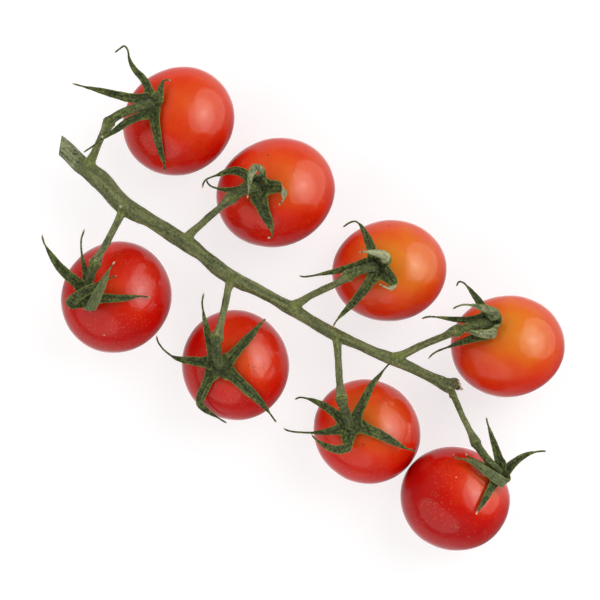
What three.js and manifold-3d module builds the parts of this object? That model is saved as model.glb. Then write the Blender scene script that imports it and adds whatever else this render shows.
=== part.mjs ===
// A truss of cherry tomatoes, as cut from the plant and laid on a table.
// Eight fruits hang on one stem. Each sits under a green calyx of five sepals, whose short stalk
// meets the stem's own side stalk at a swollen knuckle, where a ripe fruit snaps off.
// Millimetres, +Z up. The stem runs along +X from its cut end, and the fruits rest on Z = 0.

import * as THREE from "three";
import { mergeVertices } from "three/addons/utils/BufferGeometryUtils.js";
import Module from "manifold-3d";

const wasm = await Module();
wasm.setup();

// Places are read off a picture taken from straight above, in its pixels, x right and y down.
const TYPICAL_FRUIT_MM = 29.5;
const TYPICAL_FRUIT_PX = 111;
const MM_PER_PX = TYPICAL_FRUIT_MM / TYPICAL_FRUIT_PX;
const ORIGIN_PX = { x: 292, y: 297 };
const STEM_SLOPE_DEG = 31.3;

// Fit between the pieces, and how finely each is faceted.
const GAP = 0.3;
const FLAT_SPOT_DEPTH = 0.22;
const FRUIT_SIDES = 22;
const FRUIT_STEPS = 11;
const FRUIT_FACETS_OUT = 0.1;
const STALK_SIDES = 8;
const STEM_SIDES = 10;
const STEM_STEPS = 38;
const STALK_STEPS = 14;
const STUB_STEPS = 4;
const SEPAL_STEPS = 7;
const SEPAL_SIDES = 6;
const DISC_SIDES = 10;
const DISC_RINGS = 6;
const CUTTER_SIZE = 60;

// The fruit: the hollow that the calyx sits in, and the faint point at the far end.
const HOLLOW_DEPTH = 0.07;
const HOLLOW_SPREAD_DEG = 17;
const POINT_HEIGHT = 0.015;
const POINT_SPREAD_DEG = 9;

// How far out from a fruit's middle its skin is still taken as seen from above, as a share.
const FURTHEST_SEEN = 0.98;

// The calyx and its stalk.
const DISC_RADIUS = 2.7;
const DISC_HALF_HEIGHT = 1.3;
const SEPAL_HALF_THICKNESS = 0.46;
const SEPAL_CUP = 0.1;
const SEPAL_TAPER = 0.9;
const STEEP_FOLD = 0.35;
const SEPAL_FULL = 2.5;
const SEPAL_TAIL_WIDTH = 0.88;
const SEPAL_THINNING = 0.3;
const SEPAL_SKIN_CLEARANCE = 0.85;
const UPPER_STALK_RADIUS = 1.3;
const LOWER_STALK_RADIUS = 0.98;
const KNUCKLE_RADIUS = 1.62;
const KNUCKLE_SPREAD = 1.2;
const STALK_FLARE = 0.6;
const STALK_FLARE_SPREAD = 1.6;

// The stem, from the cut end to the last fruit: x px, y px, height mm, radius mm.
const STEM_ROUTE = [
  [49, 134.5, 19.4, 2.25],
  [62, 146, 19.6, 2.3],
  [80, 163, 20, 2.3],
  [100, 179.5, 20.4, 2.6],
  [116, 197, 20.4, 2.6],
  [130, 209.5, 20.6, 2.5],
  [150, 220.5, 20.8, 2],
  [170, 233.5, 21, 2.05],
  [187, 244, 21, 2.25],
  [204, 256.5, 20.8, 1.8],
  [222, 271, 20.6, 2.1],
  [236, 279.5, 20.6, 1.95],
  [256, 289, 20.8, 1.6],
  [276, 300, 21, 1.6],
  [293, 309.5, 21, 1.85],
  [310, 320.2, 21, 1.55],
  [334, 334, 20.8, 1.75],
  [352, 342, 20.8, 1.45],
  [374, 352, 20.8, 1.4],
  [394, 360, 20.8, 1.65],
  [412, 368, 20.6, 1.35],
  [430, 376.5, 20.4, 1.45],
  [445, 384, 20.2, 1.8],
  [453, 389.5, 20, 1.5],
];
// The cut across the stem's thick end, and the stub where the truss's tip broke off.
const CUT_PLACE = [60.7, 145, 19.6];
const CUT_TURN_DEG = 9;
const STUB_ROUTE = [
  [445, 382.5, 20.2],
  [452, 383.4, 20],
  [457, 385.6, 19.5],
  [460.4, 389.2, 18.8],
];
const STUB_RADII = [1.35, 0.95];

// Each fruit: its middle and its stem end in px; its length, width and height in mm, and the turn
// of its length. Its stalk runs from the calyx to the stem, x px, y px, height mm, with the knuckle
// at one of those points. Each sepal's route starts at the calyx; a point with no height lies on
// the skin, tail is the share of the sepal that is a thread, and a higher full keeps it wide longer.
const FRUITS = [
  {
    middle: [178.6, 120.9], stemEnd: [152, 105], size: [30.8, 28.2, 27.8], turn: -36,
    knuckle: 5,
    stalk: [
      [152, 105, 25], [148, 105.2, 27.6], [139.5, 107.9, 29.5], [129.5, 111.8, 30.6], [119.5, 116.4, 30.9],
      [110.8, 122.8, 30.3], [105.5, 132, 28.2], [100.4, 142, 25.6], [96, 151.5, 23.2], [90, 163.5, 20.8],
    ],
    sepals: [
      { width: 2.4, tail: 0.25, route: [[151, 99, 26.2], [149, 90, 25.9], [144, 80, 25.2], [135, 70, 24.6],
        [130, 60, 24.2], [128.3, 51, 23.6], [125, 46.8, 23], [119.5, 50, 22], [114.5, 53.8, 21]] },
      { width: 2.7, tail: 0.1, route: [[147, 101, 26.4], [134, 99.3, 26.5], [118, 96, 26.4], [100, 91.2, 26],
        [85, 87.6, 25.4], [72, 84, 24.8]] },
      { width: 2.3, tail: 0.15, route: [[156.5, 102, 26.4], [160, 95, 26.4], [161.6, 88, 26],
        [163.6, 82.4, 25.5], [167, 80.6, 24.8], [172, 81.5, 24]] },
      { width: 2.9, tail: 0.1, route: [[155, 113], [157.3, 123], [160.2, 140], [163.5, 155], [165, 164, 22.8],
        [164.3, 172, 20.4]] },
      { width: 2.5, tail: 0.2, route: [[147, 113.5, 26.2], [137, 118.4, 26.6], [127, 123.6, 27.2],
        [117, 130.8, 28], [109, 136.2, 29.6], [102.5, 140.4, 29.7], [96, 145.6, 28.8], [84, 153.5, 26.8]] },
    ],
  },
  {
    middle: [275.6, 192.5], stemEnd: [257, 188], size: [32.2, 28.7, 28.2], turn: -24,
    knuckle: 4,
    stalk: [
      [257, 188, 26.2], [254.5, 187.6, 29.2], [248, 189.8, 31.2], [240, 193.8, 32], [231, 199.5, 31.6],
      [221, 207.8, 29.5], [211, 216.2, 27], [200, 225.7, 24.2], [192, 232.7, 22.3], [186, 239, 21],
    ],
    sepals: [
      { width: 2.9, tail: 0.25, route: [[252, 181, 27.8], [246, 175.5, 28.8], [238, 171.7, 29.2],
        [229, 172.2, 28.8], [220, 175, 27.8], [211, 178, 26.8], [206, 180.5, 26.2], [203.4, 185, 25.8],
        [202.8, 190, 25.4]] },
      { width: 2.2, tail: 0.2, route: [[247, 188, 27.8], [237, 190.6, 27.8], [229, 190.6, 27.4],
        [220, 189.3, 27], [212, 187, 26.4], [207.8, 183, 25.6], [207, 179.5, 25.2]] },
      { width: 2.6, tail: 0.1, full: 3, route: [[262, 181, 28.4], [265.4, 174.5, 30.6], [262, 169.6, 33],
        [256.3, 169.6, 34.4], [252.2, 175, 34.9], [250, 184, 34.9], [249.5, 193, 34.3],
        [249.5, 201.5, 33.3]] },
      { width: 3.3, tail: 0.15, full: 3, route: [[264, 187.2, 28], [271, 187.4, 28.9], [278, 187.6, 30.2],
        [283, 190.2, 31], [284.2, 196, 30.6], [282.6, 202, 29.8], [278, 206, 28.8]] },
      { width: 3.4, tail: 0.15, route: [[259.5, 195], [262, 203], [265.8, 212.5], [270, 221], [272.3, 229],
        [272.4, 235, 24.4], [270, 238.3, 24.6], [267.5, 236.8, 25.2]] },
    ],
  },
  {
    middle: [389.5, 270.6], stemEnd: [376, 268], size: [30.7, 27.1, 27.2], turn: -9,
    knuckle: 4,
    stalk: [
      [376, 268, 26], [373.5, 266.8, 28.8], [366, 268.4, 30.8], [357, 271.5, 31.4], [349, 275.3, 31],
      [336.5, 283.3, 28.6], [324.6, 288.9, 26], [312.6, 294.7, 23.6], [303.6, 300, 22.1], [294, 306, 21],
    ],
    sepals: [
      { width: 3, tail: 0.25, route: [[373.5, 258, 28.2], [370.5, 248, 28.8], [367, 238.5, 28.6],
        [362.8, 230, 28], [359.4, 224.6, 27.4], [355, 221.8, 26.8], [349.5, 223, 26], [342, 228, 24.8]] },
      { width: 2.6, tail: 0.1, full: 3, route: [[381, 263.5, 28.4], [385, 260.5, 30.4], [384.5, 256.2, 32.4],
        [378, 253.8, 33.6], [370, 252.4, 33.8], [364, 252, 33.4], [358, 252.6, 32.8]] },
      { width: 2.2, tail: 0.15, route: [[367, 263, 28], [355, 266, 28.4], [345, 268.8, 28.2],
        [335, 271.4, 27.6], [322, 274, 26.6], [310, 276.2, 25.6], [303, 276.8, 25], [298, 275.5, 24.6]] },
      { width: 3, tail: 0.12, route: [[373, 276, 28.2], [368, 284, 28.6], [361, 293, 28.2],
        [353, 302.5, 27.4], [345, 311, 26.4], [338, 318.5, 25.4], [334, 324.5, 24.6], [332.3, 331, 24]] },
      { width: 3.3, tail: 0.15, full: 3, route: [[383, 272.6, 28.2], [388, 277, 29], [392.4, 282.6, 30.2],
        [393.6, 287, 31.4], [389, 288.4, 32.2], [384, 286.8, 32.4], [378.5, 283.8, 32.2]] },
    ],
  },
  {
    middle: [507.9, 346.2], stemEnd: [489, 323], size: [30.5, 27.3, 27.6], turn: -5,
    knuckle: 5,
    stalk: [
      [489, 323, 24.8], [485, 323, 27.2], [477, 325, 29], [468, 326.9, 29.8], [460, 329, 29.8],
      [453.8, 331, 29.4], [441, 337, 27.2], [430, 341.4, 25.2], [418.4, 346.4, 23.3], [408.6, 351.6, 22],
      [396, 358, 20.8],
    ],
    sepals: [
      { width: 2.5, tail: 0.2, route: [[486, 313, 26.8], [480, 304, 27], [473, 294.5, 26.8], [467, 287, 26.2],
        [462, 282.4, 25.4], [458.3, 282, 24.8], [455.5, 287, 24]] },
      { width: 2.5, tail: 0.25, full: 3, route: [[493, 319, 26.8], [494, 314.2, 28.8], [490, 311, 30.4],
        [484, 308.7, 31.4], [477, 306.8, 31.6], [469, 305, 31.2], [462, 304.7, 30.6], [456.5, 306.4, 30],
        [451, 309.3, 29.2]] },
      { width: 2.1, tail: 0.15, route: [[481, 318, 26.8], [470, 319.5, 27.6], [460, 319.6, 27.6],
        [450, 318.8, 27.2], [440, 317.4, 26.6], [430, 316.6, 25.8], [425, 317.2, 25.4], [420.5, 319, 25]] },
      { width: 2.6, tail: 0.1, full: 4, route: [[493, 328, 26.4], [494, 332.2, 28.2], [488.5, 334, 29.8],
        [481, 333.8, 30.6], [474, 332.8, 30.8], [467, 331.6, 30.6], [461.3, 331, 30.2]] },
      { width: 2.5, tail: 0.25, route: [[485, 334, 26.6], [478, 337.2, 26.8], [470, 338.9, 26.6],
        [460, 342.2, 26], [450, 346, 25.2], [442, 349, 24.4], [436, 351.5, 23.8], [431, 355, 23.2],
        [427.5, 359.5, 22.6]] },
    ],
  },
  {
    middle: [116.3, 297.1], stemEnd: [90, 296], size: [30.6, 28.9, 28.4], turn: -52,
    knuckle: 4,
    stalk: [
      [90, 296, 25.6], [89.6, 290.5, 28.4], [90.5, 282, 30.4], [92.6, 273, 31.4], [95.6, 264.6, 31.2],
      [101, 254.5, 29.2], [106, 246, 27], [111, 236, 24.8], [116, 226, 22.8], [121, 215.5, 21.2],
      [125, 206.5, 20.6],
    ],
    sepals: [
      { width: 3.2, tail: 0.12, route: [[84, 289, 27.4], [77.5, 282.2, 28.2], [69, 275.2, 28.2],
        [61, 267.3, 27.8], [54.5, 258.5, 27], [49, 250, 26.2], [45, 243, 25.4], [43.5, 238, 25],
        [43, 234, 24.6]] },
      { width: 2, tail: 0.3, route: [[87.3, 284, 27.4], [86.4, 273, 27.8], [84.5, 263.5, 27.6],
        [82.8, 254, 27], [82, 245, 26.2], [82.3, 239, 25.6], [84, 233.5, 25], [85.7, 228, 24.6]] },
      { width: 2.7, tail: 0.15, route: [[98, 297.2], [107, 298], [118, 298.2], [129, 297.4], [140, 296.2],
        [150, 297.5]] },
      { width: 3.1, tail: 0.1, full: 4, route: [[84, 299, 27.4], [77.5, 302.6, 27.8], [73, 303.6, 29.4],
        [73.6, 300.6, 31.2], [79, 296.6, 32.4], [88, 291, 33.2], [98, 286, 33.4], [108, 280.3, 33],
        [118.5, 275.5, 32.4]] },
      { width: 3.1, tail: 0.1, full: 4, route: [[91, 303, 27.6], [90.6, 308, 28.8], [91.4, 309.2, 31],
        [94.6, 303.5, 32.8], [99, 295, 34], [103.5, 285.5, 35], [108, 275.5, 35.4], [112.5, 267, 35.2],
        [117, 261, 34.8]] },
    ],
  },
  {
    middle: [235.4, 364.9], stemEnd: [220, 366], size: [29.6, 28.8, 28], turn: 80,
    knuckle: 4,
    stalk: [
      [220, 366, 26.4], [218.8, 361.5, 29.4], [217.6, 354.5, 31.8], [217, 347.5, 33.2], [217.3, 341, 33.6],
      [219.4, 331, 32], [222, 320, 29.4], [224.5, 309, 26.8], [226.5, 299, 24.4], [228.3, 289, 22.2],
      [231.5, 279.5, 20.6],
    ],
    sepals: [
      { width: 2.6, tail: 0.2, route: [[214, 356, 27.8], [210, 341, 28.8], [206.5, 326, 28.8],
        [204, 313, 28.2], [202.7, 303, 27.4], [203.4, 297, 26.8], [204.5, 292, 26.2]] },
      { width: 3, tail: 0.32, route: [[211, 361.8, 27.8], [202, 361.7, 28.2], [191, 360.3, 28],
        [181, 359, 27.4], [174, 356.7, 26.8], [169, 353.5, 26.2], [163, 348, 25.6], [159, 342.5, 25],
        [157.3, 337.5, 24.6], [157.3, 334, 24.4]] },
      { width: 3, tail: 0.1, route: [[214, 372], [209.5, 380], [204.6, 389, 25], [201, 397, 23.2],
        [200.4, 403.5, 22], [204.5, 409, 21], [212, 413.8, 20], [220, 418.8, 18.8], [227.5, 423.5, 18]] },
      { width: 3.3, tail: 0.12, route: [[229, 371.6], [238, 379], [247, 387.6], [256, 396.8, 25.6],
        [263, 404.5, 24], [269, 412, 22.4], [277, 423, 20]] },
      { width: 3, tail: 0.05, route: [[228.5, 360], [238, 350.4], [246, 341.5], [253, 333, 25.6],
        [260, 325, 23.6], [266.3, 318, 21.4]] },
    ],
  },
  {
    middle: [366.8, 431.3], stemEnd: [350, 427], size: [28.9, 27.7, 27.6], turn: 33,
    knuckle: 4,
    stalk: [
      [350, 427, 26], [348.8, 421.5, 29], [345.8, 413, 31.4], [343, 405, 32.8], [341.2, 397.5, 33.1],
      [339.8, 386, 31], [339, 375, 28.2], [338.3, 363, 25.4], [337.5, 351, 22.8], [337.2, 342, 21.2],
      [337.2, 335.5, 20.8],
    ],
    sepals: [
      { width: 2.7, tail: 0.15, route: [[341, 418.5, 27.8], [332, 410.6, 28.8], [323, 404.7, 29],
        [314, 400.3, 28.6], [306, 397.7, 27.8], [299.5, 397, 27], [294, 399.5, 26.2]] },
      { width: 2.6, tail: 0.4, route: [[341, 428, 27.6], [331, 430.4, 28], [322, 431.6, 28], [312, 432, 27.6],
        [303, 431.8, 27], [295, 431.3, 26.4], [288, 430, 25.8], [282.5, 427.3, 25.2]] },
      { width: 2.8, tail: 0.1, full: 3, route: [[348, 435, 27.4], [347.6, 441.6, 27.8], [346.4, 446.6, 29],
        [341.5, 448.4, 30], [335, 448.4, 30.3], [327, 445.7, 30], [320, 441.8, 29.4], [314.5, 437.5, 28.6],
        [311, 433, 27.8]] },
      { width: 3.1, tail: 0.1, route: [[358, 425.6], [368, 429.2], [378, 433.6], [388, 438.6],
        [397, 443.3, 26.4], [405, 447.4, 25.2], [416, 451, 23.4]] },
      { width: 2.8, tail: 0.12, route: [[355.5, 417, 27.8], [360, 407, 28.6], [365, 397, 28.8],
        [370, 387, 28.4], [375.5, 379.5, 27.6], [381.5, 372, 26.6], [387.5, 365, 25.6], [393, 361, 24.8]] },
    ],
  },
  {
    middle: [454.8, 498.6], stemEnd: [496, 473], size: [29.4, 27.7, 28.2], turn: 19,
    knuckle: 5,
    stalk: [
      [497, 472.4, 20], [496.6, 469.6, 23], [493, 465.5, 24.4], [487.5, 459.5, 25], [481.5, 452, 25.2],
      [476.2, 444.5, 24.8], [471, 434, 23.6], [466, 424, 22.6], [461, 412.5, 21.6], [456.5, 401, 20.8],
      [452, 390, 20], [447, 385, 20],
    ],
    sepals: [
      { width: 2.4, tail: 0.1, route: [[499.5, 464, 19.6], [497.5, 455.5, 20], [495, 447, 20.2],
        [491.8, 437.5, 20.4], [489, 429, 20.4], [487, 422, 20.2], [485.6, 416, 20]] },
      { width: 2.6, tail: 0.15, route: [[506.5, 469.5, 18], [512, 464.2, 18.4], [518, 459.2, 18.8],
        [525, 455, 19], [532, 452.4, 19], [539, 451.2, 18.6], [547, 451, 18]] },
      { width: 2.9, tail: 0.12, full: 4, route: [[502.5, 477, 20.4], [505.2, 480.6, 22.2], [502.6, 481.8, 24.6],
        [495, 477, 26.2], [486, 470.7, 26.8], [478, 465, 26.6], [470, 460.6, 26], [462, 458.4, 25.4],
        [456, 457.4, 25], [452, 453, 24.6]] },
      { width: 2.9, tail: 0, route: [[494.4, 479], [490, 485], [485, 493], [480, 502], [476, 508.4],
        [473.4, 513.4]] },
      { width: 2.2, tail: 0.15, route: [[492, 470.5, 23.4], [484, 465.6, 24.9], [477, 461, 25],
        [471, 457.6, 24.6], [467, 455.8, 24.2], [465, 452, 23.8]] },
    ],
  },
];

const toRadians = THREE.MathUtils.degToRad;
const UP = new THREE.Vector3(0, 0, 1);

const stemGreen = new THREE.MeshStandardMaterial({ color: 0x5c7038, roughness: 0.75, metalness: 0 });
const calyxGreen = new THREE.MeshStandardMaterial({ color: 0x3f5a28, roughness: 0.75, metalness: 0 });
const ripeSkin = new THREE.MeshStandardMaterial({ color: 0xc61a0a, roughness: 0.22, metalness: 0 });

// A place in the picture, at a height above the table, as a point of the truss's own frame.
function place(x, y, height = 0) {
  const right = (x - ORIGIN_PX.x) * MM_PER_PX;
  const up = (ORIGIN_PX.y - y) * MM_PER_PX;
  return new THREE.Vector3(right, up, height).applyAxisAngle(UP, toRadians(STEM_SLOPE_DEG));
}

// A geometry as a solid: its shared vertices merged, with only its positions left.
function solidOf(geometry) {
  const bare = geometry.index ? geometry.toNonIndexed() : geometry.clone();
  for (const name of Object.keys(bare.attributes)) {
    if (name !== "position") bare.deleteAttribute(name);
  }
  const merged = mergeVertices(bare, 1e-4);
  const solid = new wasm.Manifold(
    new wasm.Mesh({
      numProp: 3,
      vertProperties: merged.attributes.position.array,
      triVerts: new Uint32Array(merged.index.array),
    }),
  );
  if (solid.volume() < 0) throw new Error("a shape is inside out");
  return solid;
}

// A solid back as a geometry. Where cutting left loose scraps, the largest body is kept.
function geometryOf(solid) {
  const bodies = solid.decompose().sort((a, b) => b.volume() - a.volume());
  const mesh = bodies[0].getMesh();
  return new THREE.BufferGeometry()
    .setAttribute("position", new THREE.BufferAttribute(new Float32Array(mesh.vertProperties), 3))
    .setIndex(new THREE.BufferAttribute(new Uint32Array(mesh.triVerts), 1));
}

function namedMesh(name, geometry, material) {
  const mesh = new THREE.Mesh(geometry, material.clone());
  mesh.name = name;
  return mesh;
}

// The fruit's shape: a spheroid of three half axes, turned about Z, with a hollow round its stem end.
function fruitShape(fruit) {
  const [length, width, height] = fruit.size;
  const halves = new THREE.Vector3(length / 2, width / 2, height / 2);
  const turn = toRadians(STEM_SLOPE_DEG - fruit.turn);
  const middle = place(...fruit.middle, halves.z - FLAT_SPOT_DEPTH);
  const stemPlace = place(...fruit.stemEnd, middle.z);
  const axis = stemPlace.sub(middle).applyAxisAngle(UP, -turn).divide(halves);
  axis.z = Math.sqrt(Math.max(0, 1 - axis.x ** 2 - axis.y ** 2));
  return { halves, turn, middle, axis: axis.normalize() };
}

// How far the skin stands from the middle, as a share, at an angle from the stem end.
function skinShare(angle) {
  const hollow = HOLLOW_DEPTH * Math.exp(-((angle / toRadians(HOLLOW_SPREAD_DEG)) ** 2));
  const point = POINT_HEIGHT * Math.exp(-(((Math.PI - angle) / toRadians(POINT_SPREAD_DEG)) ** 2));
  return 1 - hollow + point;
}

// A point in the fruit's own round space, where its skin is nearly a unit sphere, and back.
function toRound(shape, point) {
  return point.clone().sub(shape.middle).applyAxisAngle(UP, -shape.turn).divide(shape.halves);
}
function fromRound(shape, point) {
  return point.clone().multiply(shape.halves).applyAxisAngle(UP, shape.turn).add(shape.middle);
}

// The point straight out from the fruit's middle at a clearance over the skin.
function overSkin(shape, round, clearance) {
  const share = skinShare(round.angleTo(shape.axis)) + clearance / shape.halves.z;
  return fromRound(shape, round.clone().setLength(share));
}

// The point over the skin that is seen at a place in the picture.
function onSkin(shape, x, y, clearance) {
  const round = toRound(shape, place(x, y, shape.middle.z));
  const reach = Math.min(FURTHEST_SEEN, Math.hypot(round.x, round.y));
  round.z = Math.sqrt(1 - reach ** 2);
  return overSkin(shape, round, clearance);
}

// The point itself, or the nearest one that clears the skin.
function clearOfSkin(shape, point, clearance) {
  const round = toRound(shape, point);
  const share = skinShare(round.angleTo(shape.axis)) + clearance / shape.halves.z;
  return round.length() < share ? overSkin(shape, round, clearance) : point;
}

// The direction straight out of the skin, near a point.
function outOfSkin(shape, point) {
  return toRound(shape, point).divide(shape.halves).applyAxisAngle(UP, shape.turn).normalize();
}

// The fruit's body, grown by a margin: a turned profile, stood on its stem axis.
function fruitBody(shape, margin = 0) {
  const profile = [];
  for (let i = 0; i <= FRUIT_STEPS; i++) {
    const angle = Math.PI * (1 - i / FRUIT_STEPS);
    const share = skinShare(angle) + margin / shape.halves.z;
    profile.push(new THREE.Vector2(share * Math.sin(angle), share * Math.cos(angle)));
  }
  profile[0].x = 0;
  profile[FRUIT_STEPS].x = 0;
  const body = new THREE.LatheGeometry(profile, FRUIT_SIDES);
  body.applyQuaternion(new THREE.Quaternion().setFromUnitVectors(new THREE.Vector3(0, 1, 0), shape.axis));
  body.scale(shape.halves.x, shape.halves.y, shape.halves.z);
  return body.rotateZ(shape.turn).translate(...shape.middle.toArray());
}

// The fruit, cut flat where it stands on the table.
function makeFruit(shape) {
  const underTable = new THREE.BoxGeometry(CUTTER_SIZE, CUTTER_SIZE, CUTTER_SIZE);
  underTable.translate(shape.middle.x, shape.middle.y, -CUTTER_SIZE / 2);
  return geometryOf(solidOf(fruitBody(shape, FRUIT_FACETS_OUT)).subtract(solidOf(underTable)));
}

// Places along a curve with a steady frame: each step's face is carried on from the last.
function stalkFrames(curve, steps) {
  const frames = [];
  const face = new THREE.Vector3(0.1, 0.2, 1);
  for (let i = 0; i <= steps; i++) {
    const share = i / steps;
    const along = curve.getTangentAt(share);
    face.addScaledVector(along, -face.dot(along)).normalize();
    const side = new THREE.Vector3().crossVectors(along, face);
    frames.push({ share, point: curve.getPointAt(share), along, side, face: face.clone() });
  }
  return frames;
}

// Places along a sepal. Its width follows the skin up to a share of its length, and is level after
// that. Where it turns steeply over, its width is carried on through the fold.
function bladeFrames(shape, curve, skinEnd) {
  const frames = [];
  let side = null;
  for (let i = 0; i <= SEPAL_STEPS; i++) {
    const share = i / SEPAL_STEPS;
    const onCurve = curve.getPointAt(share);
    const along = curve.getTangentAt(share);
    const across = along.clone().cross(share < skinEnd ? outOfSkin(shape, onCurve) : UP);
    if (side && across.length() < STEEP_FOLD) across.copy(side).addScaledVector(along, -side.dot(along));
    if (side && across.dot(side) < 0) across.negate();
    side = across.normalize();
    const point = clearOfSkin(shape, onCurve, SEPAL_SKIN_CLEARANCE);
    frames.push({ share, point, along, side, face: side.clone().cross(along) });
  }
  return frames;
}

// A closed tube through the frames. Its section is a regular polygon that sectionAt gives its size.
function tubeThrough(frames, sides, sectionAt) {
  const steps = frames.length - 1;
  const tube = new THREE.CylinderGeometry(1, 1, 1, sides, steps);
  const position = tube.getAttribute("position");
  for (let i = 0; i < position.count; i++) {
    const frame = frames[Math.round((0.5 - position.getY(i)) * steps)];
    const { across, out, cup = 0 } = sectionAt(frame.share);
    const x = position.getX(i);
    const z = position.getZ(i);
    const at = frame.point.clone();
    at.addScaledVector(frame.side, across * x);
    at.addScaledVector(frame.face, -out * z + cup * x * x);
    position.setXYZ(i, at.x, at.y, at.z);
  }
  return tube;
}

function routeCurve(points) {
  return new THREE.CatmullRomCurve3(points, false, "centripetal");
}

// One sepal: a thin cupped blade that narrows to a thread, with its root at the calyx's middle.
function makeSepal(shape, root, sepal) {
  const points = [root];
  for (const [x, y, height] of sepal.route) {
    points.push(height === undefined ? onSkin(shape, x, y, SEPAL_SKIN_CLEARANCE) : place(x, y, height));
  }
  const lastOnSkin = sepal.route.findLastIndex((point) => point.length === 2);
  const frames = bladeFrames(shape, routeCurve(points), (lastOnSkin + 1) / sepal.route.length);
  const blade = 1 - sepal.tail;
  const edge = Math.sin(Math.PI / 3);
  return tubeThrough(frames, SEPAL_SIDES, (share) => {
    const left = Math.max(0, 1 - (share / blade) ** (sepal.full ?? SEPAL_FULL)) ** SEPAL_TAPER;
    const thinned = 1 - SEPAL_THINNING * share;
    const width = Math.max(sepal.width * left, SEPAL_TAIL_WIDTH * thinned);
    return {
      across: width / 2 / edge,
      out: SEPAL_HALF_THICKNESS * thinned,
      cup: (SEPAL_CUP * width) / edge ** 2,
    };
  });
}

// A fruit's stalk from its calyx to the stem. It is parted square across at the knuckle into the
// calyx's tube and the stem's tube.
function makeStalk(fruit) {
  const points = fruit.stalk.map(([x, y, height]) => place(x, y, height));
  const curve = routeCurve(points);
  const length = curve.getLength();
  const joint = routeCurve(points.slice(0, fruit.knuckle + 1)).getLength() / length;
  const jointStep = Math.round(joint * STALK_STEPS);
  const frames = stalkFrames(curve, STALK_STEPS);
  const upper = frames.slice(0, jointStep + 1).map((frame) => ({ ...frame, point: frame.point.clone() }));
  const lower = frames.slice(jointStep).map((frame) => ({ ...frame, point: frame.point.clone() }));
  upper.at(-1).point.addScaledVector(upper.at(-1).along, -GAP / 2);
  lower[0].point.addScaledVector(lower[0].along, GAP / 2);
  const section = (share) => {
    const fromKnuckle = (share - jointStep / STALK_STEPS) * length;
    const plain = fromKnuckle < 0 ? UPPER_STALK_RADIUS : LOWER_STALK_RADIUS;
    const swelling = (KNUCKLE_RADIUS - plain) * Math.exp(-((fromKnuckle / KNUCKLE_SPREAD) ** 2));
    const flare = STALK_FLARE * Math.exp(-((1 - share) * length) / STALK_FLARE_SPREAD);
    const radius = plain + swelling + flare;
    return { across: radius, out: radius };
  };
  return {
    upper: tubeThrough(upper, STALK_SIDES, section),
    lower: tubeThrough(lower, STALK_SIDES, section),
  };
}

// The calyx: a low disc over the stem end, the sepals that spread from it, and the upper stalk.
function makeCalyx(fruit, shape, upperStalk) {
  const root = overSkin(shape, shape.axis, SEPAL_SKIN_CLEARANCE);
  const disc = new THREE.SphereGeometry(1, DISC_SIDES, DISC_RINGS).rotateX(Math.PI / 2);
  disc.scale(DISC_RADIUS, DISC_RADIUS, DISC_HALF_HEIGHT);
  disc.applyQuaternion(new THREE.Quaternion().setFromUnitVectors(UP, outOfSkin(shape, root)));
  disc.translate(...root.toArray());
  const leaves = fruit.sepals.map((sepal) => solidOf(makeSepal(shape, root, sepal)));
  const whole = wasm.Manifold.union([solidOf(disc), solidOf(upperStalk), ...leaves]);
  return geometryOf(whole.subtract(solidOf(fruitBody(shape, FRUIT_FACETS_OUT + GAP))));
}

// The stem with its side stalks up to the knuckles, and the broken stub at its far end.
function makeStem(lowerStalks) {
  const curve = routeCurve(STEM_ROUTE.map(([x, y, height]) => place(x, y, height)));
  const radii = routeCurve(STEM_ROUTE.map((point, i) => new THREE.Vector3(i, point[3], 0)));
  const frames = stalkFrames(curve, STEM_STEPS);
  const stem = tubeThrough(frames, STEM_SIDES, (share) => {
    const radius = radii.getPoint(curve.getUtoTmapping(share)).y;
    return { across: radius, out: radius };
  });
  const stubCurve = routeCurve(STUB_ROUTE.map(([x, y, height]) => place(x, y, height)));
  const stub = tubeThrough(stalkFrames(stubCurve, STUB_STEPS), STALK_SIDES, (share) => {
    const radius = THREE.MathUtils.lerp(...STUB_RADII, share);
    return { across: radius, out: radius };
  });
  const cut = new THREE.BoxGeometry(CUTTER_SIZE, CUTTER_SIZE, CUTTER_SIZE);
  cut.translate(-CUTTER_SIZE / 2, 0, 0);
  cut.rotateZ(toRadians(STEM_SLOPE_DEG - CUT_TURN_DEG)).translate(...place(...CUT_PLACE).toArray());
  const whole = wasm.Manifold.union([solidOf(stem), solidOf(stub), ...lowerStalks.map(solidOf)]);
  return geometryOf(whole.subtract(solidOf(cut)));
}

const truss = new THREE.Group();
const lowerStalks = [];
FRUITS.forEach((fruit, i) => {
  const number = i + 1;
  const shape = fruitShape(fruit);
  const stalk = makeStalk(fruit);
  lowerStalks.push(stalk.lower);
  truss.add(namedMesh(`tomato_${number}`, makeFruit(shape), ripeSkin));
  truss.add(namedMesh(`calyx_${number}`, makeCalyx(fruit, shape, stalk.upper), calyxGreen));
});
truss.add(namedMesh("stem", makeStem(lowerStalks), stemGreen));

export default truss;
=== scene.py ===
"""A truss of cherry tomatoes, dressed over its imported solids: eight ripe fruits on one green stem.

Places across the truss are pixels of a picture taken from straight above, x right and y down, and
heights over the table are millimetres. place() turns both into metres of the truss's own frame.
"""
import math
import random
from collections import namedtuple

import bmesh
import bpy
import numpy as np
from bpy.props import FloatProperty, FloatVectorProperty, IntProperty, PointerProperty
from mathutils import Matrix, Vector, kdtree, noise


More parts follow.
